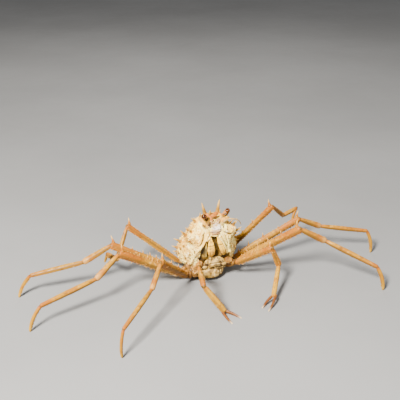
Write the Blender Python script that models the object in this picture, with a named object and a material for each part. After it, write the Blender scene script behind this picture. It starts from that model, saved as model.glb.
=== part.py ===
"""A giant homolid crab, standing, as a life-size still model.

The crab faces -Y and its plane of symmetry is X = 0, so +X is its left side.
The floor is Z = 0 and the origin lies in the middle of the flat that the tail rests on.
Body shapes are given in the body's own directions, as shares of the carapace length:
forward along the body, out to the crab's left, and up through the back.
"""

import math
import random

import bmesh
import bpy
from mathutils import Matrix, Vector

# Driving sizes in metres
CARAPACE_LENGTH = 0.110
BODY_CENTRE = Vector((0.0, 0.0, 0.045))
BODY_PITCH = math.radians(57.5)
BODY_LEAN = math.radians(4.0)
LEAN_AXIS = Vector((0.242, 0.970, 0.0))
GAP = 0.0003

# Length of merus, carpus, propodus and dactylus of each pair of limbs
LIMB_LENGTHS = {
    1: (0.0635, 0.0307, 0.0488, 0.0254),
    2: (0.1000, 0.0346, 0.0706, 0.0363),
    3: (0.1083, 0.0428, 0.0761, 0.0354),
    4: (0.1065, 0.0421, 0.0702, 0.0362),
    5: (0.0922, 0.0473, 0.0268, 0.0214),
}

# Half height of the same four segments at their fullest, and their thickness as a share of it
LIMB_HALF_HEIGHTS = {
    1: (0.0042, 0.0039, 0.0039, 0.0020),
    2: (0.0050, 0.0040, 0.0035, 0.0024),
    3: (0.0053, 0.0042, 0.0037, 0.0025),
    4: (0.0050, 0.0039, 0.0034, 0.0023),
    5: (0.0041, 0.0031, 0.0026, 0.0018),
}
FLATNESS = (0.70, 0.82, 0.80, 0.80)

# How far a limb is turned about its own length
LIMB_TWISTS = {("right", 4): math.radians(40), ("right", 5): math.radians(40)}

# Where each limb leaves the body, and where its merus starts on each side, in body shares
LIMB_ROOTS = {
    1: (0.020, 0.140, -0.270),
    2: (-0.115, 0.170, -0.325),
    3: (-0.160, 0.170, -0.250),
    4: (-0.200, 0.190, -0.130),
    5: (-0.360, 0.150, 0.030),
}
MERUS_STARTS = {
    ("right", 1): (-0.012, 0.257, -0.338),
    ("right", 2): (-0.107, 0.341, -0.345),
    ("right", 3): (-0.159, 0.377, -0.295),
    ("right", 4): (-0.208, 0.382, -0.218),
    ("right", 5): (-0.302, 0.366, -0.025),
    ("left", 1): (-0.035, 0.265, -0.335),
    ("left", 3): (-0.175, 0.335, -0.235),
    ("left", 4): (-0.262, 0.330, -0.129),
    ("left", 5): (-0.420, 0.355, 0.100),
}

# Heading and rise in degrees of merus, carpus, propodus and dactylus
LIMB_POSES = {
    ("right", 1): ((-97.8, 32.9), (-91.8, -21.4), (0.0, -56.2), (-74.7, -11.5)),
    ("right", 2): ((-126.7, 36.9), (-126.1, -39.3), (-128.6, -12.1), (-133.1, -81.2)),
    ("right", 3): ((-164.0, 31.6), (-153.1, -32.4), (-160.5, -9.9), (-160.1, -61.3)),
    ("right", 4): ((178.8, 28.4), (-172.8, -24.5), (177.6, -9.9), (176.5, -60.0)),
    ("right", 5): ((175.1, 40.8), (-132.9, -54.9), (112.7, -4.6), (106.3, -59.4)),
    ("left", 1): ((-42.3, 34.4), (13.2, -66.3), (-117.6, -28.2), (-123.6, -20.8)),
    ("left", 3): ((-37.0, 37.4), (0.4, -30.6), (-31.3, -21.5), (-32.9, -72.1)),
    ("left", 4): ((0.3, 27.1), (12.1, -27.2), (-11.1, -7.8), (-20.0, -77.1)),
    ("left", 5): ((-24.1, 50.4), (43.9, -37.7), (23.0, 10.7), (-142.0, -59.0)),
}
SEGMENTS = ("merus", "carpus", "propodus", "dactylus")

# Where the tips of the fixed and the moving finger touch the floor
FINGERTIPS = {
    "right": (Vector((-0.0034, -0.1346, 0.0)), Vector((0.0112, -0.1254, 0.0))),
    "left": (Vector((0.0486, -0.1186, 0.0)), Vector((0.0430, -0.1098, 0.0))),
}

# Share along the segment, and share of its half height there
MERUS_PROFILE = ((0.0, 0.62), (0.06, 0.74), (0.30, 0.98), (0.72, 0.94), (0.94, 1.0), (1.0, 0.86))
CARPUS_PROFILE = ((0.0, 0.68), (0.15, 0.78), (0.60, 0.98), (0.88, 1.04), (1.0, 0.86))
PROPODUS_PROFILE = ((0.0, 0.74), (0.10, 0.88), (0.45, 1.0), (0.90, 0.84), (1.0, 0.72))
HOOK_PROFILE = ((0.0, 0.80), (0.15, 0.95), (0.55, 0.90), (0.85, 0.70), (1.0, 0.55))
DACTYLUS_PROFILE = ((0.0, 1.0), (0.12, 1.0), (0.45, 0.78), (0.80, 0.50), (1.0, 0.26))
PALM_PROFILE = ((0.0, 0.68), (0.12, 0.90), (0.50, 1.05), (0.90, 1.0), (1.0, 0.95))
FINGER_PROFILE = ((0.0, 1.0), (0.30, 0.88), (0.70, 0.62), (1.0, 0.32))
PROFILES = (MERUS_PROFILE, CARPUS_PROFILE, PROPODUS_PROFILE, DACTYLUS_PROFILE)

# Carapace from the front to the rear: forward, half width, height, depth
BODY_STATIONS = (
    (0.500, 0.150, 0.120, 0.090),
    (0.450, 0.190, 0.140, 0.135),
    (0.360, 0.222, 0.160, 0.190),
    (0.250, 0.258, 0.175, 0.225),
    (0.130, 0.312, 0.185, 0.250),
    (0.000, 0.352, 0.190, 0.265),
    (-0.120, 0.370, 0.190, 0.260),
    (-0.240, 0.368, 0.188, 0.215),
    (-0.340, 0.350, 0.180, 0.150),
    (-0.420, 0.310, 0.165, 0.070),
    (-0.475, 0.240, 0.145, 0.010),
    (-0.510, 0.150, 0.120, -0.030),
)
WIDEST_LEVEL = 0.060
# The underside's flat as a share of the width, and the flank's fullness above it, at front and rear
FLOOR_SHARES = (0.74, 0.46)
FLANK_POWERS = (0.90, 1.30)

# Main spines of each flank: base and tip in body shares, then base radius in metres
FLANK_SPINES = (
    ((0.450, 0.120, 0.080), (0.594, 0.123, 0.090), 0.0017),
    ((0.450, 0.180, 0.050), (0.554, 0.241, 0.060), 0.0020),
    ((0.255, 0.245, 0.045), (0.362, 0.301, 0.060), 0.0021),
    ((0.175, 0.280, 0.045), (0.309, 0.363, 0.060), 0.0024),
    ((0.060, 0.335, 0.045), (0.154, 0.441, 0.055), 0.0022),
    ((-0.080, 0.370, 0.045), (-0.013, 0.458, 0.055), 0.0020),
    ((-0.180, 0.370, 0.050), (-0.150, 0.440, 0.055), 0.0017),
    ((-0.260, 0.345, 0.060), (-0.240, 0.412, 0.070), 0.0015),
    ((0.400, 0.255, -0.055), (0.502, 0.294, -0.050), 0.0020),
    ((0.330, 0.285, -0.070), (0.310, 0.371, -0.080), 0.0019),
    ((0.255, 0.262, -0.090), (0.330, 0.335, -0.125), 0.0016),
)

# Rows of smaller spines over the flanks and the back, on both sides:
# first and last station, how far round from the middle of the back in degrees, how many, and length
SPINE_ROWS = (
    (0.40, -0.38, 8, 5, 0.0050),
    (0.36, -0.36, 27, 6, 0.0058),
    (0.38, -0.34, 46, 7, 0.0038),
    (0.30, -0.30, 66, 7, 0.0026),
    (0.20, -0.12, 100, 4, 0.0048),
    (0.22, 0.06, 120, 2, 0.0040),
)

# Spines of the front: base and tip on each side, in body shares
SIDE_ROSTRUMS = {
    "left": ((0.440, 0.095, 0.095), (0.719, 0.119, 0.150)),
    "right": ((0.440, -0.040, 0.100), (0.708, -0.100, 0.150)),
}
MIDDLE_ROSTRUM = ((0.450, 0.000, 0.080), (0.640, -0.010, 0.070))

# Mouth legs, gaping to the crab's left: forward, middle to the left, half width and thickness
MAXILLIPEDS = {
    "right": (
        (0.400, -0.045, 0.026, 0.022),
        (0.360, -0.047, 0.033, 0.030),
        (0.250, -0.046, 0.043, 0.044),
        (0.130, -0.036, 0.038, 0.034),
        (0.105, -0.032, 0.032, 0.026),
    ),
    "left": (
        (0.400, 0.040, 0.022, 0.022),
        (0.360, 0.054, 0.026, 0.030),
        (0.250, 0.092, 0.031, 0.044),
        (0.130, 0.120, 0.030, 0.036),
        (0.105, 0.125, 0.026, 0.026),
    ),
}

# Base and tip of each eyestalk in body shares, and the eye's half width in metres
EYES = {
    "left": ((0.500, 0.120, 0.050), (0.590, 0.208, 0.055), 0.0032),
    "right": ((0.500, -0.060, 0.040), (0.608, -0.097, 0.010), 0.0036),
}

# Feelers from the front of the carapace to their tips, their thickness in metres and their colour;
# the right antenna points at the viewer
FEELERS = {
    "left_antenna": (
        (
            (0.500, 0.125, -0.045), (0.565, 0.160, -0.060), (0.605, 0.195, -0.075),
            (0.608, 0.240, -0.088), (0.580, 0.288, -0.092), (0.525, 0.325, -0.094), (0.463, 0.347, -0.095),
        ),
        0.0013,
        "limb",
    ),
    "right_antenna": (
        ((0.500, -0.110, -0.045), (0.560, -0.128, -0.070), (0.650, -0.150, -0.120), (0.750, -0.175, -0.178)),
        0.0013,
        "limb",
    ),
    "left_antennule": (
        ((0.500, 0.070, -0.010), (0.528, 0.082, -0.024), (0.545, 0.080, -0.046), (0.540, 0.064, -0.068)),
        0.0013,
        "stalk",
    ),
    "right_antennule": (
        ((0.500, -0.010, -0.004), (0.528, -0.020, -0.018), (0.545, -0.016, -0.040), (0.540, 0.002, -0.060)),
        0.0013,
        "stalk",
    ),
}

COLOURS = {
    "shell": (0.86, 0.74, 0.56),
    "limb": (0.87, 0.67, 0.40),
    "claw": (0.74, 0.50, 0.38),
    "underside": (0.66, 0.52, 0.38),
    "stalk": (0.85, 0.48, 0.30),
    "eye": (0.12, 0.02, 0.02),
}

random.seed(11)


def clear_scene():
    for thing in list(bpy.data.objects):
        bpy.data.objects.remove(thing, do_unlink=True)


def body_direction(forward, left, up):
    """A direction given along the body, to its left and through its back."""
    ahead = Vector((0.0, -math.cos(BODY_PITCH), math.sin(BODY_PITCH)))
    back = Vector((0.0, math.sin(BODY_PITCH), math.cos(BODY_PITCH)))
    level = ahead * forward + Vector((left, 0.0, 0.0)) + back * up
    return Matrix.Rotation(-BODY_LEAN, 3, LEAN_AXIS) @ level


def body_point(forward, left, up):
    return BODY_CENTRE + body_direction(forward, left, up) * CARAPACE_LENGTH


def mirrored(place, side):
    """A place in body shares, on the side that is asked for."""
    forward, left, up = place
    return (forward, left if side == "left" else -left, up)


def heading(azimuth, rise):
    azimuth = math.radians(azimuth)
    rise = math.radians(rise)
    level = math.cos(rise)
    return Vector((math.cos(azimuth) * level, math.sin(azimuth) * level, math.sin(rise)))


def across(axis, twist=0.0):
    """The two directions square to a limb's axis: its side and its upper edge."""
    up = Vector((0.0, 0.0, 1.0))
    up = (up - axis * up.dot(axis)).normalized()
    up = Matrix.Rotation(twist, 3, axis) @ up
    return axis.cross(up).normalized(), up


def new_object(name, mesh, centre):
    """An object whose origin is at the given point, from a mesh in the crab's frame."""
    for vertex in mesh.vertices:
        vertex.co -= centre
    thing = bpy.data.objects.new(name, mesh)
    thing.location = centre
    bpy.context.scene.collection.objects.link(thing)
    return thing


def lofted(name, rings):
    """A closed mesh through rings that all have the same number of points."""
    shape = bmesh.new()
    rows = [[shape.verts.new(point) for point in ring] for ring in rings]
    count = len(rows[0])
    for near, far in zip(rows, rows[1:]):
        for index in range(count):
            after = (index + 1) % count
            shape.faces.new((near[index], near[after], far[after], far[index]))
    shape.faces.new(rows[0])
    shape.faces.new(rows[-1])
    bmesh.ops.recalc_face_normals(shape, faces=shape.faces)
    mesh = bpy.data.meshes.new(name)
    shape.to_mesh(mesh)
    shape.free()
    return mesh


def limb_rings(start, end, profile, half_height, cuts, sides=8, bow=0.0, flat=0.82, twist=0.0):
    """Rings of a limb segment, its ends cut by the planes that it shares with its neighbours.

    Each cut is a point and a normal that points along the limb, or None for a square end.
    """
    axis = (end - start).normalized()
    length = (end - start).length
    side, up = across(axis, twist)
    rings = []
    last = len(profile) - 1
    for step, (share, size) in enumerate(profile):
        high = half_height * size
        wide = high * flat
        lift = up * (bow * length * 4.0 * share * (1.0 - share))
        ring = []
        for corner in range(sides):
            angle = 2.0 * math.pi * (corner + 0.5) / sides
            offset = side * (wide * math.cos(angle)) + up * (high * math.sin(angle)) + lift
            along = share * length
            if cuts[0]:
                limit = (cuts[0][0] - start - offset).dot(cuts[0][1]) / axis.dot(cuts[0][1])
                along = limit if step == 0 else max(along, limit + 0.0005 * step)
            if cuts[1]:
                limit = (cuts[1][0] - start - offset).dot(cuts[1][1]) / axis.dot(cuts[1][1])
                along = limit if step == last else min(along, limit - 0.0005 * (last - step))
            ring.append(start + offset + axis * along)
        rings.append(ring)
    return rings


def joint_cuts(joint, before, after):
    """The two end planes at a joint, each half the gap from it."""
    normal = (before + after).normalized()
    return (joint - normal * (GAP / 2), normal), (joint + normal * (GAP / 2), normal)


def spine(name, base, tip, radius, sides=5):
    """A closed pointed spine whose base ring lies round the given base point."""
    axis = (tip - base).normalized()
    helper = Vector((0.0, 0.0, 1.0)) if abs(axis.z) < 0.9 else Vector((1.0, 0.0, 0.0))
    side = axis.cross(helper).normalized()
    up = axis.cross(side)
    shape = bmesh.new()
    turn = random.uniform(0.0, 2.0 * math.pi)
    ring = []
    for corner in range(sides):
        angle = turn + 2.0 * math.pi * corner / sides
        ring.append(shape.verts.new(base + (side * math.cos(angle) + up * math.sin(angle)) * radius))
    point = shape.verts.new(tip)
    for corner in range(sides):
        shape.faces.new((ring[corner], ring[(corner + 1) % sides], point))
    shape.faces.new(ring)
    bmesh.ops.recalc_face_normals(shape, faces=shape.faces)
    mesh = bpy.data.meshes.new(name)
    shape.to_mesh(mesh)
    shape.free()
    return mesh


def ellipsoid(name, centre, radii, turns=12, bands=8):
    """A closed egg shape whose three half lengths lie along the body's own directions."""
    shape = bmesh.new()
    bmesh.ops.create_uvsphere(shape, u_segments=turns, v_segments=bands, radius=1.0)
    for vertex in shape.verts:
        place = vertex.co.copy()
        stretch = body_direction(place.x * radii[0], place.y * radii[1], place.z * radii[2])
        vertex.co = centre + stretch * CARAPACE_LENGTH
    bmesh.ops.recalc_face_normals(shape, faces=shape.faces)
    mesh = bpy.data.meshes.new(name)
    shape.to_mesh(mesh)
    shape.free()
    return mesh


def boolean(mesh, tools, operation):
    """The mesh after one Boolean with all the tool meshes, its largest closed surface only."""
    if not tools:
        return mesh
    scene = bpy.context.scene
    group = bpy.data.collections.new("tools")
    scene.collection.children.link(group)
    for tool in tools:
        group.objects.link(bpy.data.objects.new("tool", tool))
    target = bpy.data.objects.new("target", mesh)
    scene.collection.objects.link(target)
    step = target.modifiers.new("join", "BOOLEAN")
    step.operation = operation
    step.operand_type = "COLLECTION"
    step.collection = group
    step.solver = "EXACT"
    bpy.context.view_layer.update()
    state = bpy.context.evaluated_depsgraph_get()
    result = bpy.data.meshes.new_from_object(target.evaluated_get(state))
    bpy.data.objects.remove(target, do_unlink=True)
    for thing in list(group.objects):
        bpy.data.objects.remove(thing, do_unlink=True)
    bpy.data.collections.remove(group)
    keep_largest(result)
    return result


def keep_largest(mesh):
    """Drops every loose shell but the one with the most faces, and welds stray points."""
    shape = bmesh.new()
    shape.from_mesh(mesh)
    bmesh.ops.remove_doubles(shape, verts=shape.verts, dist=0.000001)
    bmesh.ops.dissolve_degenerate(shape, edges=shape.edges, dist=0.000001)
    bmesh.ops.triangulate(shape, faces=shape.faces)
    shape.faces.ensure_lookup_table()
    seen = set()
    shells = []
    for face in shape.faces:
        if face in seen:
            continue
        shell = {face}
        front = [face]
        while front:
            current = front.pop()
            for edge in current.edges:
                for other in edge.link_faces:
                    if other not in shell:
                        shell.add(other)
                        front.append(other)
        seen |= shell
        shells.append(shell)
    shells.sort(key=len)
    spare = [face for shell in shells[:-1] for face in shell]
    bmesh.ops.delete(shape, geom=spare, context="FACES")
    shape.to_mesh(mesh)
    shape.free()


def cut_at_floor(mesh):
    """Takes off what lies below the floor and leaves a flat there."""
    shape = bmesh.new()
    shape.from_mesh(mesh)
    everything = shape.verts[:] + shape.edges[:] + shape.faces[:]
    bmesh.ops.bisect_plane(
        shape, geom=everything, dist=0.0000001, plane_co=(0, 0, 0), plane_no=(0, 0, 1), clear_inner=True
    )
    rim = [edge for edge in shape.edges if edge.is_boundary]
    if rim:
        bmesh.ops.edgenet_fill(shape, edges=rim)
    for vertex in shape.verts:
        if vertex.co.z < 0.000001:
            vertex.co.z = 0.0
    bmesh.ops.recalc_face_normals(shape, faces=shape.faces)
    shape.to_mesh(mesh)
    shape.free()


def paint(thing, slot, roughness=0.55):
    material = bpy.data.materials.new(thing.name)
    material.use_nodes = True
    shader = material.node_tree.nodes["Principled BSDF"]
    shader.inputs["Base Color"].default_value = (*COLOURS[slot], 1.0)
    shader.inputs["Roughness"].default_value = roughness
    shader.inputs["Metallic"].default_value = 0.0
    thing.data.materials.clear()
    thing.data.materials.append(material)
    thing.data.shade_smooth()
    thing.data.set_sharp_from_angle(angle=math.radians(40))


def between(pair, forward):
    """A value that changes evenly from the front to the rear of the body's middle stretch."""
    share = min(max((forward + 0.10) / 0.45, 0.0), 1.0)
    return pair[1] + (pair[0] - pair[1]) * share


def body_outline(station, angle):
    """Left and up of the carapace at a station, turned in radians from the middle of the back."""
    forward, wide, high, deep = station
    level = WIDEST_LEVEL
    if angle <= math.pi / 2:
        return wide * math.sin(angle), level + (high - level) * max(math.cos(angle), 0.0)
    low = wide * between(FLOOR_SHARES, forward)
    power = between(FLANK_POWERS, forward)
    down = angle - math.pi / 2
    left = low + (wide - low) * max(math.cos(down), 0.0) ** power
    return left, level - (level + deep) * math.sin(down) ** power


def station_at(forward):
    """The carapace's station at any place along it."""
    for near, far in zip(BODY_STATIONS, BODY_STATIONS[1:]):
        if far[0] <= forward <= near[0]:
            share = (near[0] - forward) / (near[0] - far[0])
            return tuple(one + (other - one) * share for one, other in zip(near, far))
    return BODY_STATIONS[-1]


def body_ring(station, grow):
    """The carapace's outline at one station: a domed back, bowed flanks, a flat underside."""
    forward, wide, high, deep = station
    grown = (forward, wide + grow, high + grow, deep + grow)
    outline = [body_outline(grown, math.pi * step / 10.0) for step in range(11)]
    other = [(-left, up) for left, up in reversed(outline[1:])]
    return [body_point(forward, left, up) for left, up in outline + other]


def body_hull(grow=0.0):
    """The carapace without its swellings and spines, larger all round by the given length."""
    share = grow / CARAPACE_LENGTH
    stations = list(BODY_STATIONS)
    first = stations[0]
    last = stations[-1]
    stations[0] = (first[0] + share, *first[1:])
    stations[-1] = (last[0] - share, *last[1:])
    return lofted("hull", [body_ring(station, share) for station in stations])


def body_depth(forward):
    """How far the carapace's flat underside lies below the body's middle line."""
    return station_at(forward)[3]


def surface_point(forward, angle, side):
    """A point on the carapace and the direction straight out of it, both in the crab's frame."""
    station = station_at(forward)
    left, up = body_outline(station, angle)
    near = body_outline(station, angle - 0.05)
    far = body_outline(station, angle + 0.05)
    ahead = body_outline(station_at(forward + 0.02), angle)
    behind = body_outline(station_at(forward - 0.02), angle)
    along = Vector((0.04, ahead[0] - behind[0], ahead[1] - behind[1]))
    round_ = Vector((0.0, far[0] - near[0], far[1] - near[1]))
    out = along.cross(round_).normalized()
    if out.dot(Vector((0.0, left, up))) < 0:
        out = -out
    turn = 1.0 if side == "left" else -1.0
    return body_point(forward, left * turn, up), body_direction(out.x, out.y * turn, out.z).normalized()


def cheek_swellings():
    """The two swellings beside the mouth, in front of the claws."""
    shapes = []
    for side in ("left", "right"):
        cheek = body_point(*mirrored((0.335, 0.195, -0.060), side))
        shapes.append(ellipsoid("cheek", cheek, (0.120, 0.105, 0.110)))
    return shapes


def front_spines():
    shapes = []
    for base, tip in SIDE_ROSTRUMS.values():
        shapes.append(spine("rostrum", body_point(*base), body_point(*tip), 0.0030, 7))
    base, tip = (body_point(*place) for place in MIDDLE_ROSTRUM)
    shapes.append(spine("rostrum", base, tip, 0.0022, 6))
    return shapes


def flank_spines():
    shapes = []
    for side in ("left", "right"):
        for base, tip, radius in FLANK_SPINES:
            base = body_point(*mirrored(base, side))
            tip = body_point(*mirrored(tip, side))
            shapes.append(spine("flank", base, tip, radius))
    return shapes


def row_spines():
    """The smaller spines of the back and flanks, which lean forwards."""
    shapes = []
    ahead = body_direction(1.0, 0.0, 0.0)
    for side in ("left", "right"):
        for first, last, angle, count, length in SPINE_ROWS:
            for index in range(count):
                share = (index + random.uniform(0.2, 0.8)) / count
                forward = first + (last - first) * share
                turn = math.radians(angle + random.uniform(-6.0, 6.0))
                place, out = surface_point(forward, turn, side)
                reach = length * random.uniform(0.75, 1.25)
                lean = (out + ahead * 0.45).normalized()
                shapes.append(spine("row", place - out * 0.0016, place + lean * reach, 0.0011 + reach * 0.12))
    return shapes


def make_carapace():
    """The shell, whose rear edge rests on the floor behind the tail."""
    hull = body_hull()
    cut_at_floor(hull)
    mesh = boolean(hull, cheek_swellings(), "UNION")
    mesh = boolean(mesh, front_spines() + flank_spines() + row_spines(), "UNION")
    paint(new_object("carapace", mesh, BODY_CENTRE), "shell")


def sternum_mesh(grow=0.0):
    """The breastplate, a shallow keel under the flat of the carapace."""
    share = grow / CARAPACE_LENGTH
    gap = GAP / CARAPACE_LENGTH
    rings = []
    for forward, wide, thick in (
        (0.090 + share, 0.070, 0.020),
        (0.050, 0.120, 0.050),
        (-0.020, 0.160, 0.075),
        (-0.120, 0.160, 0.070),
        (-0.200 - share, 0.140, 0.040),
    ):
        top = -body_depth(forward) - gap + share
        bottom = -body_depth(forward) - gap - thick - share
        wide = wide + share
        outline = ((wide, top), (wide * 0.9, bottom), (0.0, bottom - 0.012), (-wide * 0.9, bottom), (-wide, top))
        rings.append([body_point(forward, left, up) for left, up in outline])
    return lofted("sternum", rings)


def tail_mesh(grow=0.0):
    """The tail folded under the body, a dome that reaches just past the floor."""
    shape = bmesh.new()
    bmesh.ops.create_uvsphere(shape, u_segments=20, v_segments=12, radius=1.0)
    half = Vector((0.0220 + grow, 0.0290 + grow, 0.0128 + grow))
    for vertex in shape.verts:
        square = Vector([math.copysign(abs(part) ** 0.85, part) for part in vertex.co])
        vertex.co = Vector((square.x * half.x - 0.0020, square.y * half.y - 0.0020, square.z * half.z + 0.0118))
    bmesh.ops.recalc_face_normals(shape, faces=shape.faces)
    mesh = bpy.data.meshes.new("tail")
    shape.to_mesh(mesh)
    shape.free()
    return mesh


def make_underside():
    centre = body_point(-0.030, 0.0, -0.300)
    paint(new_object("sternum", sternum_mesh(), centre), "underside")
    mesh = boolean(tail_mesh(), [body_hull(GAP), sternum_mesh(GAP)], "DIFFERENCE")
    cut_at_floor(mesh)
    paint(new_object("abdomen", mesh, Vector((0.0, 0.0, 0.0))), "underside")


def make_maxilliped(side):
    """A mouth leg lying flat under the front of the carapace."""
    gap = GAP / CARAPACE_LENGTH
    rings = []
    for forward, middle, wide, thick in MAXILLIPEDS[side]:
        top = -body_depth(forward) - gap
        bottom = top - thick
        outline = (
            (middle - wide, top),
            (middle + wide, top),
            (middle + wide, top - thick * 0.6),
            (middle + wide * 0.4, bottom),
            (middle - wide * 0.4, bottom),
            (middle - wide, top - thick * 0.6),
        )
        rings.append([body_point(forward, left, up) for left, up in outline])
    name = side + "_maxilliped"
    rear = MAXILLIPEDS[side][-1]
    centre = body_point(rear[0], rear[1], -body_depth(rear[0]))
    paint(new_object(name, lofted(name, rings), centre), "limb")


def front_plane():
    """Just ahead of the flat front of the carapace, where eyes and feelers start."""
    return body_point(0.500 + GAP / CARAPACE_LENGTH, 0.0, 0.0), body_direction(1.0, 0.0, 0.0)


def make_eye(side):
    """An eyestalk with a narrow neck, and the eye at its end."""
    base, tip, half = EYES[side]
    base = body_point(*base)
    tip = body_point(*tip)
    axis = (tip - base).normalized()
    ends = joint_cuts(tip - axis * (half * 0.9), axis, axis)
    profile = ((0.0, 0.85), (0.30, 0.70), (0.60, 0.80), (0.85, 1.15), (1.0, 1.20))
    stalk = lofted("stalk", limb_rings(base, ends[0][0], profile, 0.0021, (front_plane(), ends[0]), flat=1.0))
    paint(new_object(side + "_eyestalk", stalk, base), "stalk")
    profile = ((0.0, 0.70), (0.25, 0.96), (0.50, 1.0), (0.78, 0.76), (1.0, 0.30))
    eye = lofted("eye", limb_rings(ends[1][0], tip + axis * (half * 0.85), profile, half, (ends[1], None), flat=1.0))
    paint(new_object(side + "_cornea", eye, tip), "eye", 0.12)


def make_feeler(name):
    """A bent feeler through its places, from the front of the carapace to a blunt tip."""
    places, thickness, slot = FEELERS[name]
    points = [body_point(*place) for place in places]
    rings = []
    for step, point in enumerate(points):
        near = points[max(step - 1, 0)]
        far = points[min(step + 1, len(points) - 1)]
        axis = (far - near).normalized()
        wide, up = across(axis)
        radius = thickness * (1.0 - 0.65 * step / (len(points) - 1))
        ring = []
        for corner in range(6):
            angle = 2.0 * math.pi * corner / 6
            offset = wide * (radius * math.cos(angle)) + up * (radius * math.sin(angle))
            if step == 0:
                spot, normal = front_plane()
                first = (points[1] - points[0]).normalized()
                offset += first * ((spot - point - offset).dot(normal) / first.dot(normal))
            ring.append(point + offset)
        rings.append(ring)
    paint(new_object(name, lofted(name, rings), points[0]), slot)


def limb_joints(side, pair):
    """The joints of a limb, from the start of the merus to the tip."""
    points = [body_point(*mirrored(MERUS_STARTS[(side, pair)], side))]
    for length, pose in zip(LIMB_LENGTHS[pair], LIMB_POSES[(side, pair)]):
        points.append(points[-1] + heading(*pose) * length)
    return points


def make_coxa(name, side, pair, end, after, before):
    """The short base of a limb, from the body's flank to the merus, clear of the bases before it."""
    start = body_point(*mirrored(LIMB_ROOTS[pair], side))
    axis = (end - start).normalized()
    cuts = joint_cuts(end, axis, after)
    size = LIMB_HALF_HEIGHTS[pair][0]
    profile = ((0.0, 1.05), (0.50, 1.15), (0.78, 1.00), (1.0, 0.70))
    fuller = limb_rings(start, end, profile, size + GAP, (None, joint_cuts(end, axis, after)[1]), flat=0.78)
    mesh = lofted(name, limb_rings(start, end, profile, size, (None, cuts[0]), flat=0.78))
    mesh = boolean(mesh, [body_hull(GAP), sternum_mesh(GAP), tail_mesh(GAP)] + before, "DIFFERENCE")
    paint(new_object(name, mesh, end), "limb")
    before.append(lofted("fuller", fuller))
    return cuts[1]


def edge_spines(start, end, half_height, rows, flat=0.7, twist=0.0):
    """Spines in rows along a limb segment.

    Each row has an angle round the limb, a first and last share along it, a count, a length,
    a radius and how far the spines lean towards the limb's end.
    """
    axis = (end - start).normalized()
    side, up = across(axis, twist)
    shapes = []
    for angle, first, last, count, length, radius, lean in rows:
        for index in range(count):
            share = first + (last - first) * (index + random.uniform(0.25, 0.75)) / count
            turn = math.radians(angle + random.uniform(-9.0, 9.0))
            out = side * (math.cos(turn) * flat) + up * math.sin(turn)
            foot = start + (end - start) * share
            base = foot + out * (half_height * 0.50)
            reach = half_height * 0.42 + length * random.uniform(0.8, 1.2)
            tip = base + (out.normalized() + axis * lean).normalized() * reach
            shapes.append(spine("edge", base, tip, radius))
    return shapes


def merus_rows(size):
    """The long spine at the merus's end, a few large ones, then the small ones along both edges."""
    return (
        (90.0, 0.945, 0.950, 1, size * 1.45, 0.0017, 0.75),
        (88.0, 0.12, 0.80, 3, size * 1.00, 0.0012, 0.60),
        (78.0, 0.08, 0.92, 8, size * 0.42, 0.0010, 0.50),
        (-80.0, 0.06, 0.94, 10, size * 0.42, 0.0010, 0.50),
    )


def make_leg(side, pair, before):
    """One walking leg, a node for each segment."""
    name = side + "_leg" + str(pair) + "_"
    points = limb_joints(side, pair)
    sizes = LIMB_HALF_HEIGHTS[pair]
    axes = [(far - near).normalized() for near, far in zip(points, points[1:])]
    twist = LIMB_TWISTS.get((side, pair), 0.0)
    opening = make_coxa(name + "coxa", side, pair, points[0], axes[0], before)
    for index in range(4):
        closing = None
        after = None
        if index < 3:
            closing, after = joint_cuts(points[index + 1], axes[index], axes[index + 1])
        profile = HOOK_PROFILE if pair == 5 and index == 2 else PROFILES[index]
        rings = limb_rings(
            points[index], points[index + 1], profile, sizes[index], (opening, closing),
            bow=0.06 if index == 3 else 0.0, flat=FLATNESS[index], twist=twist,
        )
        mesh = lofted(SEGMENTS[index], rings)
        if index == 0:
            rows = merus_rows(sizes[0])
            mesh = boolean(mesh, edge_spines(points[0], points[1], sizes[0], rows, twist=twist), "UNION")
        if index == 3 and pair != 5:
            cut_at_floor(mesh)
        paint(new_object(name + SEGMENTS[index], mesh, points[index]), "limb")
        opening = after


def make_claw(side, before):
    """The claw limb: its hand is the palm with the fixed finger, and the moving finger is apart."""
    name = side + "_claw_"
    points = limb_joints(side, 1)
    sizes = LIMB_HALF_HEIGHTS[1]
    axes = [(far - near).normalized() for near, far in zip(points, points[1:])]
    opening = make_coxa(name + "coxa", side, 1, points[0], axes[0], before)
    for index in range(2):
        closing, after = joint_cuts(points[index + 1], axes[index], axes[index + 1])
        rings = limb_rings(
            points[index], points[index + 1], PROFILES[index], sizes[index], (opening, closing)
        )
        mesh = lofted(SEGMENTS[index], rings)
        if index == 0:
            rows = merus_rows(sizes[0])
            mesh = boolean(mesh, edge_spines(points[0], points[1], sizes[0], rows), "UNION")
        paint(new_object(name + SEGMENTS[index], mesh, points[index]), "limb")
        opening = after
    knuckle = points[3]
    tips = FINGERTIPS[side]
    middle = ((tips[0] + tips[1]) / 2 - knuckle).normalized()
    apart = tips[1] - tips[0]
    apart = (apart - middle * apart.dot(middle)).normalized()
    closing, after = joint_cuts(knuckle, axes[2], middle)
    palm = lofted("palm", limb_rings(points[2], knuckle, PALM_PROFILE, sizes[2], (opening, closing)))
    root = knuckle - apart * 0.0021
    inner = root - (tips[0] - root).normalized() * 0.0030
    fixed = lofted("fixed", limb_rings(inner, tips[0], FINGER_PROFILE, sizes[3], (None, None), sides=7))
    palm = boolean(palm, [fixed], "UNION")
    cut_at_floor(palm)
    paint(new_object(name + "palm", palm, points[2]), "claw")
    root = knuckle + apart * 0.0022
    finger = limb_rings(root, tips[1], FINGER_PROFILE, sizes[3], (after, None), sides=7)
    finger = lofted("finger", finger)
    cut_at_floor(finger)
    paint(new_object(name + "finger", finger, knuckle), "claw")


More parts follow.
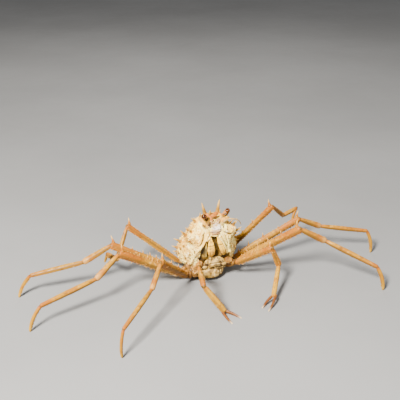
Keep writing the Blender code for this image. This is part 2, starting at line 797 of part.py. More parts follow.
def make_stump(before):
    """The base that is left of the lost limb, behind the left claw and clear of the other bases."""
    start = body_point(-0.055, 0.170, -0.250)
    end = body_point(-0.085, 0.252, -0.295)
    profile = ((0.0, 1.05), (0.5, 1.0), (0.85, 0.85), (1.0, 0.60))
    mesh = lofted("stump", limb_rings(start, end, profile, LIMB_HALF_HEIGHTS[2][0], (None, None)))
    mesh = boolean(mesh, [body_hull(GAP), sternum_mesh(GAP)] + before, "DIFFERENCE")
    paint(new_object("left_leg2_stump", mesh, end), "limb")


def gather_under_parent():
    """Puts every node under one empty at the origin, where the crab is moved from."""
    crab = bpy.data.objects.new("crab", None)
    nodes = [thing for thing in bpy.context.scene.collection.objects if thing.type == "MESH"]
    bpy.context.scene.collection.objects.link(crab)
    for thing in nodes:
        thing.parent = crab


def main():
    clear_scene()
    make_carapace()
    make_underside()
    for side in ("left", "right"):
        make_maxilliped(side)
        bases = []
        make_claw(side, bases)
        for pair in (2, 3, 4, 5):
            if (side, pair) in LIMB_POSES:
                make_leg(side, pair, bases)
        if side == "left":
            make_stump(bases)
    for side in EYES:
        make_eye(side)
    for name in FEELERS:
        make_feeler(name)
    gather_under_parent()


main()
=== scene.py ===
"""A giant homolid crab as a museum shows it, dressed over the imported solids.

Everything is in metres in the crab's own frame: it faces -Y, +X is its left and the floor is Z = 0.
Body places are given as forward, left and up in shares of the carapace length, and tables of them
in thousandths of it.
"""

import math
import random

import bmesh
import bpy
from mathutils import Matrix, Vector, kdtree, noise


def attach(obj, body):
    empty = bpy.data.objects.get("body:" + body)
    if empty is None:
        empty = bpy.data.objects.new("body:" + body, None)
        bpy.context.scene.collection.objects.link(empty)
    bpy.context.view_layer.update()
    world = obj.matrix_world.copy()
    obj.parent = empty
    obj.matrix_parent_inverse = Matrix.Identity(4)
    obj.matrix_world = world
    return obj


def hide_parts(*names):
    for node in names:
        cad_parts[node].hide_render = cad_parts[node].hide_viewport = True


def shares(table):
    """A table's thousandths as shares of the carapace length, and its millimetres as metres."""
    if isinstance(table, dict):
        return {key: shares(value) for key, value in table.items()}
    if isinstance(table, tuple):
        return tuple(shares(value) for value in table)
    return table if isinstance(table, str) else table / 1000


# The body's size in metres, where it stands, and how it is tilted, the same as the solids'
CARAPACE_LENGTH = 0.110
BODY_CENTRE = Vector((0.0, 0.0, 0.045))
BODY_PITCH = math.radians(57.5)
BODY_LEAN = math.radians(4.0)
LEAN_AXIS = Vector((0.242, 0.970, 0.0))

# For each pair of limbs, from the claws to the last legs: the segments' lengths and half heights in metres
LIMB_LENGTHS = {
    1: (0.0635, 0.0307, 0.0488, 0.0254),
    2: (0.1000, 0.0346, 0.0706, 0.0363),
    3: (0.1083, 0.0428, 0.0761, 0.0354),
    4: (0.1065, 0.0421, 0.0702, 0.0362),
    5: (0.0922, 0.0473, 0.0268, 0.0214),
}
LIMB_HALF_HEIGHTS = {
    1: (0.0042, 0.0039, 0.0039, 0.0020),
    2: (0.0050, 0.0040, 0.0035, 0.0024),
    3: (0.0053, 0.0042, 0.0037, 0.0025),
    4: (0.0050, 0.0039, 0.0034, 0.0023),
    5: (0.0041, 0.0031, 0.0026, 0.0018),
}

# A segment's width as a share of its height, and the turn of some limbs round their own length
FLATNESS = (0.70, 0.82, 0.80, 0.80)
LIMB_TWISTS = {("right", 4): math.radians(40), ("right", 5): math.radians(40)}

# Where the limbs leave the body, given for the left side, and where their long segments start
LIMB_ROOTS = shares({
    1: (20, 140, -270),
    2: (-115, 170, -325),
    3: (-160, 170, -250),
    4: (-200, 190, -130),
    5: (-360, 150, 30),
})
MERUS_STARTS = shares({
    ("right", 1): (-12, 257, -338),
    ("right", 2): (-107, 341, -345),
    ("right", 3): (-159, 377, -295),
    ("right", 4): (-208, 382, -218),
    ("right", 5): (-302, 366, -25),
    ("left", 1): (-35, 265, -335),
    ("left", 3): (-175, 335, -235),
    ("left", 4): (-262, 330, -129),
    ("left", 5): (-420, 355, 100),
})

# The photograph's pose: heading and rise in degrees of each segment, and the tips of the claws' fingers
LIMB_POSES = {
    ("right", 1): ((-97.8, 32.9), (-91.8, -21.4), (0.0, -56.2), (-74.7, -11.5)),
    ("right", 2): ((-126.7, 36.9), (-126.1, -39.3), (-128.6, -12.1), (-133.1, -81.2)),
    ("right", 3): ((-164.0, 31.6), (-153.1, -32.4), (-160.5, -9.9), (-160.1, -61.3)),
    ("right", 4): ((178.8, 28.4), (-172.8, -24.5), (177.6, -9.9), (176.5, -60.0)),
    ("right", 5): ((175.1, 40.8), (-132.9, -54.9), (112.7, -4.6), (106.3, -59.4)),
    ("left", 1): ((-42.3, 34.4), (13.2, -66.3), (-117.6, -28.2), (-123.6, -20.8)),
    ("left", 3): ((-37.0, 37.4), (0.4, -30.6), (-31.3, -21.5), (-32.9, -72.1)),
    ("left", 4): ((0.3, 27.1), (12.1, -27.2), (-11.1, -7.8), (-20.0, -77.1)),
    ("left", 5): ((-24.1, 50.4), (43.9, -37.7), (23.0, 10.7), (-142.0, -59.0)),
}
SEGMENTS = ("merus", "carpus", "propodus", "dactylus")
FINGERTIPS = {
    "right": (Vector((-0.0034, -0.1346, 0.0)), Vector((0.0112, -0.1254, 0.0))),
    "left": (Vector((0.0486, -0.1186, 0.0)), Vector((0.0430, -0.1098, 0.0))),
}

# Share along a segment, and share of its half height there
MERUS_PROFILE = ((0.0, 0.62), (0.06, 0.74), (0.30, 0.98), (0.72, 0.94), (0.94, 1.02), (1.0, 0.98))
CARPUS_PROFILE = ((0.0, 0.62), (0.15, 0.78), (0.60, 0.98), (0.88, 1.06), (1.0, 1.00))
PROPODUS_PROFILE = ((0.0, 0.66), (0.10, 0.86), (0.45, 1.0), (0.90, 0.84), (1.0, 0.80))
DACTYLUS_PROFILE = ((0.0, 0.98), (0.15, 0.95), (0.45, 0.92), (0.75, 0.84), (0.93, 0.66), (1.0, 0.36))
PALM_PROFILE = ((0.0, 0.60), (0.12, 0.88), (0.50, 1.05), (0.90, 1.0), (1.0, 0.95))
HOOK_PROFILE = ((0.0, 0.72), (0.15, 0.95), (0.55, 0.92), (0.85, 0.82), (1.0, 0.62))
FINGER_PROFILE = ((0.0, 0.92), (0.12, 1.04), (0.40, 0.92), (0.75, 0.74), (0.94, 0.60), (1.0, 0.30))
PROFILES = (MERUS_PROFILE, CARPUS_PROFILE, PROPODUS_PROFILE, DACTYLUS_PROFILE)

# Carapace from the front to the rear: forward, half width, height, depth
BODY_STATIONS = shares((
    (500, 150, 120, 90),
    (450, 190, 140, 135),
    (360, 222, 160, 190),
    (250, 258, 175, 225),
    (130, 312, 185, 250),
    (0, 352, 190, 265),
    (-120, 370, 190, 260),
    (-240, 368, 188, 215),
    (-340, 350, 180, 150),
    (-420, 310, 165, 70),
    (-475, 240, 145, 10),
    (-510, 150, 120, -30),
))

# The level of its widest line, and for its front and rear: the underside's share of the width, and
# the power that rounds the flank
WIDEST_LEVEL = 0.060
FLOOR_SHARES = (0.74, 0.46)
FLANK_POWERS = (0.90, 1.30)

# Large spines of each flank: base and tip, then base radius in millimetres
FLANK_SPINES = shares((
    ((450, 120, 80), (594, 123, 90), 1.7),
    ((450, 180, 50), (554, 241, 60), 2),
    ((255, 245, 45), (362, 301, 60), 2.1),
    ((175, 280, 45), (309, 363, 60), 2.4),
    ((60, 335, 45), (154, 441, 55), 2.2),
    ((-80, 370, 45), (-13, 458, 55), 2),
    ((-180, 370, 50), (-150, 440, 55), 1.7),
    ((-260, 345, 60), (-240, 412, 70), 1.5),
    ((400, 255, -55), (502, 294, -50), 2),
    ((330, 285, -70), (310, 371, -80), 1.9),
    ((255, 262, -90), (330, 335, -125), 1.6),
))

# Spines of the snout: base and tip, base radius and the reach of the orange round it in millimetres
ROSTRUMS = shares((
    (((440, 95, 95), (719, 119, 150)), 3.2, 4.5),
    (((440, -40, 100), (708, -100, 150)), 3.2, 4.5),
    (((450, 0, 80), (640, -10, 70)), 2.7, 4),
))

# Mouth legs, gaping to the crab's left: forward, middle to the left, half width and thickness
MAXILLIPEDS = shares({
    "right": (
        (400, -45, 26, 22), (360, -47, 33, 30), (250, -46, 43, 44), (130, -36, 38, 34), (105, -32, 32, 26),
    ),
    "left": (
        (400, 40, 22, 22), (360, 54, 26, 30), (250, 92, 31, 44), (130, 120, 30, 36), (105, 125, 26, 26),
    ),
})

# Base and tip of each eyestalk, and the eye's half width in millimetres
EYES = shares({
    "left": ((500, 120, 50), (590, 208, 55), 3.2),
    "right": ((500, -60, 40), (608, -97, 10), 3.6),
})

# Feelers from the front of the carapace to their tips, their thickness in millimetres and their slot
FEELERS = shares({
    "left_antenna": (
        ((500, 125, -45), (565, 160, -60), (605, 195, -75), (608, 240, -88), (580, 288, -92), (525, 325, -94),
         (463, 347, -95)), 1.3, "limb",
    ),
    "right_antenna": (
        ((500, -110, -45), (560, -128, -70), (650, -150, -120), (750, -175, -178)), 1.3, "limb",
    ),
    "left_antennule": (((500, 70, -10), (528, 82, -24), (545, 80, -46), (540, 64, -68)), 1.3, "stalk"),
    "right_antennule": (((500, -10, -4), (528, -20, -18), (545, -16, -40), (540, 2, -60)), 1.3, "stalk"),
})

# Larger spines along the top of each merus: share along it, and length in metres
MERUS_SPINES = {
    ("left", 4): ((0.09, 0.0052), (0.25, 0.0064), (0.47, 0.0062), (0.70, 0.0030)),
    ("left", 3): ((0.20, 0.0038), (0.38, 0.0044), (0.54, 0.0050), (0.75, 0.0052)),
    ("left", 5): ((0.20, 0.0044), (0.36, 0.0034), (0.60, 0.0038)),
    ("left", 1): ((0.30, 0.0026), (0.62, 0.0030)),
    ("right", 1): ((0.30, 0.0026), (0.62, 0.0030)),
    ("right", 2): ((0.18, 0.0040), (0.40, 0.0040), (0.66, 0.0044)),
    ("right", 3): ((0.20, 0.0036), (0.45, 0.0044), (0.53, 0.0046), (0.61, 0.0046), (0.73, 0.0034)),
    ("right", 4): ((0.18, 0.0036), (0.38, 0.0044), (0.47, 0.0046), (0.57, 0.0040), (0.72, 0.0034)),
    ("right", 5): ((0.22, 0.0020), (0.55, 0.0022)),
}

# The spine at the end of each merus, in metres, by pair
END_SPINES = {1: 0.0062, 2: 0.0088, 3: 0.0094, 4: 0.0094, 5: 0.0088}

# Where the photograph's camera stands: its place, its heading from +Y to +X, and how far it looks down
CAMERA_PLACE = Vector((-0.2218, -0.8437, 0.4976))
CAMERA_HEADING = math.radians(14.0)
CAMERA_PITCH = math.radians(24.0)
CAMERA_LENS = 64.1

# Lamps: name, place, size in metres, power in watts and colour
LIGHTS = (
    ("key", (-0.72, -0.90, 1.12), 0.30, 135.0, (1.0, 0.97, 0.92)),
    ("fill", (1.2, -0.6, 0.6), 1.0, 9.0, (0.95, 0.97, 1.0)),
    ("back", (0.1, 1.2, 1.1), 0.8, 10.0, (1.0, 0.98, 0.95)),
)
LIGHT_TARGET = Vector((0.0, 0.0, 0.05))
SKY_COLOUR = (0.92, 0.95, 1.0, 1.0)
SKY_STRENGTH = 0.30
FLOOR_HALF = 4.0

# How finely the limbs' skin is divided: the length of a ring in metres, and the corners of each
LIMB_STEP = 0.0016
LIMB_SIDES = 28

# Edges sharper than this aren't smoothed
SHARP_ANGLE = math.radians(50.0)

# For each segment: how far it reaches past its two joints, its keel, its edges, and how pale its end is
SEGMENT_LOOKS = (
    ((0.10, 0.34), 0.06, 1.14, 0.30),
    ((0.05, 0.34), 0.02, 1.04, 0.56),
    ((0.05, 0.30), 0.02, 1.04, 0.20),
    ((0.10, 0.0), 0.02, 1.04, 0.0),
)
CLAW_LOOK = ((0.10, 0.34), 0.05, 1.0, 0.32)

# The toe's place among the segments, its bow, and how much stouter the last legs' hooks are
TOE = 3
TOE_BOW = 0.085
HOOK_WIDENING = 1.35
HOOK_TOE_WIDENING = 1.45

# How far the claws' fingers bend towards each other in metres, and profiles of the smaller forms
FINGER_CURVE = 0.0010
COXA_RINGS = (((0.0, 1.0), (0.35, 1.12), (0.80, 1.10), (1.0, 0.90)), ((0.0, 0.92), (0.40, 0.98), (1.0, 0.78)))
STUMP_ENDS = ((-0.055, 0.170, -0.250), (-0.085, 0.252, -0.295))
STUMP_PROFILE = ((0.0, 1.10), (0.5, 1.10), (0.85, 0.95), (1.0, 0.80))
STALK_PROFILE = ((0.0, 0.85), (0.25, 0.66), (0.50, 0.72), (0.75, 1.05), (0.92, 1.26), (1.0, 1.18))

# Rows of small spines: angle round the limb, first and last share along it, count and length in metres
MERUS_ROWS = (
    (96.0, 0.05, 0.92, 13, 0.0013), (74.0, 0.05, 0.92, 11, 0.0010),
    (-78.0, 0.05, 0.92, 17, 0.0015), (-104.0, 0.05, 0.92, 15, 0.0012),
)
SMALL_ROWS = {
    "carpus": ((92.0, 0.15, 0.92, 7, 0.0009), (60.0, 0.2, 0.95, 5, 0.0007), (120.0, 0.2, 0.95, 5, 0.0007),
               (-85.0, 0.3, 0.95, 5, 0.0006)),
    "propodus": ((-88.0, 0.08, 0.97, 14, 0.0008), (90.0, 0.05, 0.95, 9, 0.0005)),
    "dactylus": ((-100.0, 0.10, 0.86, 13, 0.0013), (-78.0, 0.12, 0.84, 13, 0.0013)),
}
HOOK_ROWS = ((-75.0, 0.45, 1.02, 7, 0.0017), (-105.0, 0.45, 1.02, 7, 0.0017), (90.0, 0.1, 0.9, 5, 0.0006))
WRIST_ROWS = (
    (90.0, 0.1, 0.95, 6, 0.0016), (50.0, 0.1, 0.95, 6, 0.0014), (130.0, 0.1, 0.95, 6, 0.0014),
    (-80.0, 0.2, 0.9, 6, 0.0010), (0.0, 0.1, 0.9, 6, 0.0007), (180.0, 0.1, 0.9, 6, 0.0007),
)
PALM_ROWS = (
    (90.0, 0.08, 0.75, 8, 0.0009), (60.0, 0.08, 0.6, 6, 0.0007), (120.0, 0.08, 0.6, 6, 0.0007),
    (-90.0, 0.1, 0.8, 8, 0.0007),
)

# How far the feet of the back's spines reach into the shell, in metres
SPINE_ROOT = 0.0006

# How many granules each merus has, and how many granules, warts and mouth hairs the body has
MERUS_GRANULES = 150
SHELL_GRANULES = 1600
SHELL_WARTS = 260
MOUTH_HAIRS = 130

# Rounded regions of the back: height, then middle and half size along it and round it
BACK_REGIONS = (
    (0.020, 0.27, 0.13, 0.0, 0.42),
    (0.012, 0.10, 0.09, 0.42, 0.22),
    (0.014, -0.20, 0.12, 0.0, 0.30),
    (0.016, -0.14, 0.20, 0.66, 0.22),
)

# The swelling beside the mouth, the depth of the mouth's field, and the step between points of a fold
CHEEK_CENTRE = (0.335, 0.195, -0.060)
CHEEK_HALF_SIZES = (0.120, 0.105, 0.110)
MOUTH_DEPTH = 0.080
FOLD_STEP = 0.006

# Rings that close the carapace at its ends: their size and how far out they lie, in metres
END_ROWS = ((0.97, 0.0009), (0.90, 0.0016), (0.78, 0.0018), (0.60, 0.0012), (0.38, 0.0004), (0.14, 0.0))

# The breastplate: forward, half width and thickness, and where its grooves cross it
STERNUM_RINGS = shares(((90, 68, 18), (50, 118, 48), (-20, 158, 73), (-120, 158, 68), (-200, 138, 38)))
STERNUM_GROOVES = (0.040, -0.030, -0.095, -0.150)

# The folded tail in metres: its half sizes and middle, and where its folds cross it
ABDOMEN_HALF_SIZES = (0.0218, 0.0288, 0.0127)
ABDOMEN_CENTRE = (-0.0020, -0.0020, 0.0118)
ABDOMEN_FOLDS = (-0.0250, -0.0185, -0.0110, -0.0030, 0.0050, 0.0130, 0.0205)

# The lines that shape each side of the front and underside, the crab's right and then its left.
# Each has places, a half width, a height out of the surface and the darkness of the shade painted in it, all
# in thousandths.
FOLD_LINES = shares({
    -1.0: (
        # the long ridge beside the mouth, and the fold outside it, darkened with painted shade
        (((495, -77, -95), (455, -65, -131), (405, -90, -165), (345, -118, -196), (295, -163, -213),
          (175, -220, -222), (-30, -254, -215), (-180, -270, -150)), 14, 20, 0),
        (((468, -110, -121), (440, -126, -142), (390, -134, -175), (335, -158, -200), (290, -190, -203)),
         9, -22, 950),
        # the hollow between that ridge and the mouth's rim, browned with painted shade
        (((370, -90, -190), (320, -110, -205), (260, -125, -222), (150, -150, -247), (40, -170, -255)),
         20, -20, 850),
        (((250, -160, -226), (120, -200, -238), (0, -220, -235)), 20, -8, 400),
        # the mouth's own rim
        (((410, -45, -160), (380, -80, -178), (300, -105, -210), (190, -106, -235), (100, -100, -250)),
         9, 18, 0),
        # folds of the flank, the grooves darkened a little with painted shade
        (((435, -192, -41), (470, -160, -83), (475, -125, -105)), 12, -12, 250),
        (((300, -262, -40), (300, -232, -113), (290, -208, -180)), 11, -14, 200),
        (((400, -190, -130), (360, -195, -150), (330, -195, -170)), 18, 12, 0),
        (((390, -215, -30), (375, -214, -85)), 14, 12, 0),
    ),
    1.0: (
        # the mouth's rim, which arches over the mouth legs, and the grooves beside it and under the swelling,
        # darkened with painted shade
        (((408, -20, -162), (412, 30, -160), (395, 68, -168), (305, 113, -208), (210, 142, -233),
          (100, 176, -250)), 11, 24, 0),
        (((400, 88, -168), (330, 122, -200), (230, 160, -230), (120, 180, -248)), 6, -14, 750),
        (((445, 85, -140), (395, 112, -172), (330, 136, -202), (240, 168, -226)), 8, 14, 0),
        (((410, 135, -165), (350, 152, -195), (270, 172, -222)), 6, -12, 700),
        (((410, 158, -160), (320, 172, -203), (215, 186, -230)), 8, 14, 0),
        (((340, 222, -120), (290, 217, -158), (250, 203, -208), (170, 200, -235)), 10, -18, 850),
        (((440, 122, -140), (420, 155, -150), (395, 185, -150), (340, 215, -130)), 9, -22, 1000),
        # the curved fold inside the swelling under the left eye, darkened with painted shade
        (((490, 168, -45), (480, 140, -65), (468, 130, -95), (452, 132, -122)), 8, -18, 950),
        (((480, 175, -62), (466, 158, -95), (445, 160, -125)), 12, 12, 0),
        (((160, 170, -243), (135, 195, -240), (120, 225, -225)), 20, 16, 0),
        (((100, 230, -200), (-30, 254, -215), (-180, 270, -150)), 14, 14, 100),
    ),
})

# How finely the carapace's skin is divided: rows along it, and steps over the back, flank and underside
SHELL_ROWS = 230
BACK_STEPS = 34
FLANK_STEPS = 84
FLOOR_STEPS = 44
TURNS = (
    [step / BACK_STEPS for step in range(BACK_STEPS)]
    + [1.0 + step / FLANK_STEPS for step in range(FLANK_STEPS)]
    + [2.0 + step / FLOOR_STEPS for step in range(FLOOR_STEPS + 1)]
)

# Rows of spines on the back: first and last place along it, turn round it, count and length
SPINE_ROWS = (
    (0.42, -0.44, 0.09, 9, 0.0034),
    (0.40, -0.42, 0.24, 11, 0.0040),
    (0.38, -0.42, 0.38, 12, 0.0040),
    (0.40, -0.40, 0.52, 13, 0.0034),
    (0.36, -0.38, 0.66, 14, 0.0024),
    (0.34, -0.36, 0.80, 14, 0.0016),
)

# Single spines of the flank below its widest line: forward, turn, length
FLANK_POINTS = (
    (0.180, 1.20, 0.0050), (0.245, 1.40, 0.0040), (0.080, 1.23, 0.0046), (0.275, 1.18, 0.0040),
    (0.180, 1.70, 0.0030), (0.075, 1.52, 0.0040), (-0.120, 1.18, 0.0040), (-0.165, 1.30, 0.0034),
    (-0.070, 1.42, 0.0034), (-0.010, 1.18, 0.0036), (-0.240, 1.22, 0.0028), (0.000, 1.60, 0.0024),
    (0.390, 1.22, 0.0036), (-0.180, 1.48, 0.0022),
)

# Places on the carapace that are more orange than the rest: place in body shares, radius, strength
WARM_SPOTS = (
    ((0.360, -0.245, -0.030), 0.050, 0.50),
    ((0.460, -0.110, 0.070), 0.060, 0.60),
    ((0.440, 0.210, -0.110), 0.050, 0.28),
    ((0.440, -0.150, -0.110), 0.040, 0.25),
    ((0.420, -0.230, -0.060), 0.030, 0.30),
    ((0.500, 0.050, 0.070), 0.070, 0.55),
    ((-0.100, -0.300, -0.150), 0.100, 0.30),
)

# Colours of the crab
IVORY = (0.98, 0.80, 0.25)
YELLOW = (0.90, 0.46, 0.040)
PEACH = (0.72, 0.36, 0.030)
PINK = (0.64, 0.31, 0.08)
ORANGE = (0.30, 0.060, 0.004)
PALE = (0.62, 0.36, 0.10)
TAN = (0.345, 0.162, 0.006)
AMBER = (0.29, 0.108, 0.003)
OLIVE = (0.150, 0.068, 0.008)
BROWN = (0.022, 0.007, 0.002)
GOLD = (0.085, 0.034, 0.003)

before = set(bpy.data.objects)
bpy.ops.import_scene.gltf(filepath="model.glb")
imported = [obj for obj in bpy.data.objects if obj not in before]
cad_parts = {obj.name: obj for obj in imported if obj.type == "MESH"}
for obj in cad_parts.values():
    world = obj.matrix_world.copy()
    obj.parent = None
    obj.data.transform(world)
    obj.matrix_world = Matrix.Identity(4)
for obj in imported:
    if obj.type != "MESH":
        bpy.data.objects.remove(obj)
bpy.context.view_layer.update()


def body_direction(forward, left, up):
    """A direction in the room, from one in the body's own terms."""
    ahead = Vector((0.0, -math.cos(BODY_PITCH), math.sin(BODY_PITCH)))
    back = Vector((0.0, math.sin(BODY_PITCH), math.cos(BODY_PITCH)))
    level = ahead * forward + Vector((left, 0.0, 0.0)) + back * up
    return Matrix.Rotation(-BODY_LEAN, 3, LEAN_AXIS) @ level


def body_point(forward, left, up):
    """A point in the room, from a body place."""
    return BODY_CENTRE + body_direction(forward, left, up) * CARAPACE_LENGTH


def mirrored(place, side):
    """A place given for the left side, on the named side."""
    forward, left, up = place
    return (forward, left if side == "left" else -left, up)


def heading(azimuth, rise):
    """A direction from its heading round the room and its rise, in degrees."""
    azimuth = math.radians(azimuth)
    rise = math.radians(rise)
    level = math.cos(rise)
    return Vector((math.cos(azimuth) * level, math.sin(azimuth) * level, math.sin(rise)))


def across(axis, twist=0.0):
    """The two directions square to a limb's axis: its side and its upper edge."""
    up = Vector((0.0, 0.0, 1.0))
    if abs(axis.z) > 0.995:
        up = Vector((0.0, -1.0, 0.0))
    up = (up - axis * up.dot(axis)).normalized()
    up = Matrix.Rotation(twist, 3, axis) @ up
    return axis.cross(up).normalized(), up


def ease(low, high, value):
    """0 below low, 1 above high, and smooth between them."""
    share = min(max((value - low) / (high - low), 0.0), 1.0)
    return share * share * (3.0 - 2.0 * share)


def bump(value, centre, width):
    """A smooth hill of height 1 round a centre."""
    return math.exp(-(((value - centre) / width) ** 2))


def around(count):
    """Evenly many angles round a circle."""
    return [2.0 * math.pi * index / count for index in range(count)]


def bent(value, power):
    """A value to a power, with its own sign."""
    return math.copysign(abs(value) ** power, value)


def stretch_of(table, place):
    """The index of the row, in a table whose first column rises or falls, that a place lies after."""
    rises = table[-1][0] > table[0][0]
    for index, row in enumerate(table[1:]):
        if (row[0] >= place) if rises else (row[0] <= place):
            return index
    return len(table) - 2


def smooth_value(table, place, index, part=1):
    """A column's value at a place in the table's stretch with that index, smooth through its rows."""
    near, far = table[index], table[index + 1]
    before = table[max(index - 1, 0)]
    after = table[min(index + 2, len(table) - 1)]
    span = far[0] - near[0]
    t = (place - near[0]) / span
    out = (far[part] - before[part]) / (far[0] - before[0]) * span
    into = (after[part] - near[part]) / (after[0] - near[0]) * span
    value = (2 * t**3 - 3 * t**2 + 1) * near[part] + (t**3 - 2 * t**2 + t) * out
    return value + (3 * t**2 - 2 * t**3) * far[part] + (t**3 - t**2) * into


def even_values(table, place):
    """All columns of a falling table at a place, changing evenly between its rows."""
    index = stretch_of(table, place)
    near, far = table[index], table[index + 1]
    share = min(max((near[0] - place) / (near[0] - far[0]), 0.0), 1.0)
    return [low + (high - low) * share for low, high in zip(near[1:], far[1:])]


def read_profile(profile, share):
    """The size at a share along a segment, as a share of its half height."""
    share = min(max(share, 0.0), 1.0)
    return smooth_value(profile, share, stretch_of(profile, share))


class Shape:
    """The points and faces of a piece, with three marks at each point for its material.

    The marks are how far out along a spine it lies, how near a joint, and how stained or shaded it is: the
    third carries real stains and painted shade alike.
    """

    def __init__(self):
        self.points = []
        self.faces = []
        self.marks = []

    def rows(self, rows):
        """Joins rows of equally many points, each with its marks, into a closed skin."""
        first = len(self.points)
        count = len(rows[0])
        for row in rows:
            self.points.extend(point for point, _ in row)
            self.marks.extend(mark for _, mark in row)
        for line in range(len(rows) - 1):
            for index in range(count):
                after = (index + 1) % count
                here = first + line * count
                self.faces.append((here + index, here + after, here + count + after, here + count + index))
        self.faces.append(tuple(first + index for index in reversed(range(count))))
        last = first + (len(rows) - 1) * count
        self.faces.append(tuple(last + index for index in range(count)))

    def stain(self, least):
        """Gives every point at least so much of the stain-and-shade mark."""
        self.marks = [(tip, joint, max(stain, least)) for tip, joint, stain in self.marks]

    def make(self, name, material, nodes, slot):
        """The finished piece, in the place of the named nodes, with nothing under the floor."""
        for point in self.points:
            point.z = max(point.z, 0.0)
        mesh = bpy.data.meshes.new(name)
        mesh.from_pydata([tuple(point) for point in self.points], [], self.faces)
        for index, word in enumerate(("tip", "joint", "stain")):
            field = mesh.attributes.new(word, "FLOAT", "POINT")
            field.data.foreach_set("value", [mark[index] for mark in self.marks])
        shape = bmesh.new()
        shape.from_mesh(mesh)
        bmesh.ops.recalc_face_normals(shape, faces=shape.faces)
        shape.to_mesh(mesh)
        shape.free()
        mesh.shade_smooth()
        mesh.set_sharp_from_angle(angle=SHARP_ANGLE)
        thing = bpy.data.objects.new(name, mesh)
        bpy.context.scene.collection.objects.link(thing)
        mesh.materials.append(material)
        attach(thing, "root")
        if nodes:
            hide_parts(*nodes)


def add_spine(shape, base, tip, radius, bend=Vector(), sides=8, rings=6, flare=1.5, stain=0.0):
    """A pointed spine with a spread foot, bent towards the given direction on its way up."""
    axis = (tip - base).normalized()
    length = (tip - base).length
    side, up = across(axis, random.uniform(0.0, 3.0))
    rows = []
    for step in range(rings + 1):
        share = step / rings
        wide = radius * ((1.0 - share) ** 0.70 * 0.93 + 0.07 * (1.0 - share * 0.7))
        wide += radius * (flare - 1.0) * max(0.0, 1.0 - share * 3.0) ** 2
        middle = base + axis * (length * share) + bend * (length * (share**2 - share))
        mark = (share, 0.0, stain)
        ring = [middle + (side * math.cos(angle) + up * math.sin(angle)) * wide for angle in around(sides)]
        rows.append([(point, mark) for point in ring])
    shape.rows(rows)


def add_ball(shape, centre, axes, mark, turns=14, bands=9, rough=0.0):
    """An egg shape with the given three half axes."""
    rows = []
    for band in range(bands + 1):
        angle = math.pi * min(max(band / bands, 0.02), 0.98)
        row = []
        for turn in around(turns):
            way = axes[0] * (math.sin(angle) * math.cos(turn))
            way += axes[1] * (math.sin(angle) * math.sin(turn)) + axes[2] * math.cos(angle)
            point = centre + way
            if rough:
                point += way * (rough * noise.noise(point * 420.0))
            row.append((point, mark))
        rows.append(row)
    shape.rows(rows)


def add_tube(shape, path, radii, marks, sides=12, flat=1.0):
    """A round form through the path's points."""
    rows = []
    last = len(path) - 1
    for step, (point, radius, mark) in enumerate(zip(path, radii, marks)):
        axis = (path[min(step + 1, last)] - path[max(step - 1, 0)]).normalized()
        side, up = across(axis)
        row = []
        for angle in around(sides):
            corner = point + side * (radius * flat * math.cos(angle)) + up * (radius * math.sin(angle))
            row.append((corner, mark))
        rows.append(row)
    shape.rows(rows)


def smooth_path(places, count):
    """Evenly many points on a curve through the given places."""
    path = []
    spans = len(places) - 1
    for step in range(count):
        value = step / (count - 1) * spans
        index = min(int(value), spans - 1)
        t = value - index
        p1 = places[index]
        p2 = places[index + 1]
        p0 = places[index - 1] if index > 0 else p1 * 2 - p2
        p3 = places[index + 2] if index + 2 <= spans else p2 * 2 - p1
        point = p1 * 2 + (p2 - p0) * t + (p0 * 2 - p1 * 5 + p2 * 4 - p3) * t**2
        point += (p1 * 3 - p0 - p2 * 3 + p3) * t**3
        path.append(point * 0.5)
    return path


def noise_value(point, scale, seed=0.0):
    """Smooth noise from -1 to 1."""
    return noise.noise(point * scale + Vector((seed, seed * 1.7, -seed)))


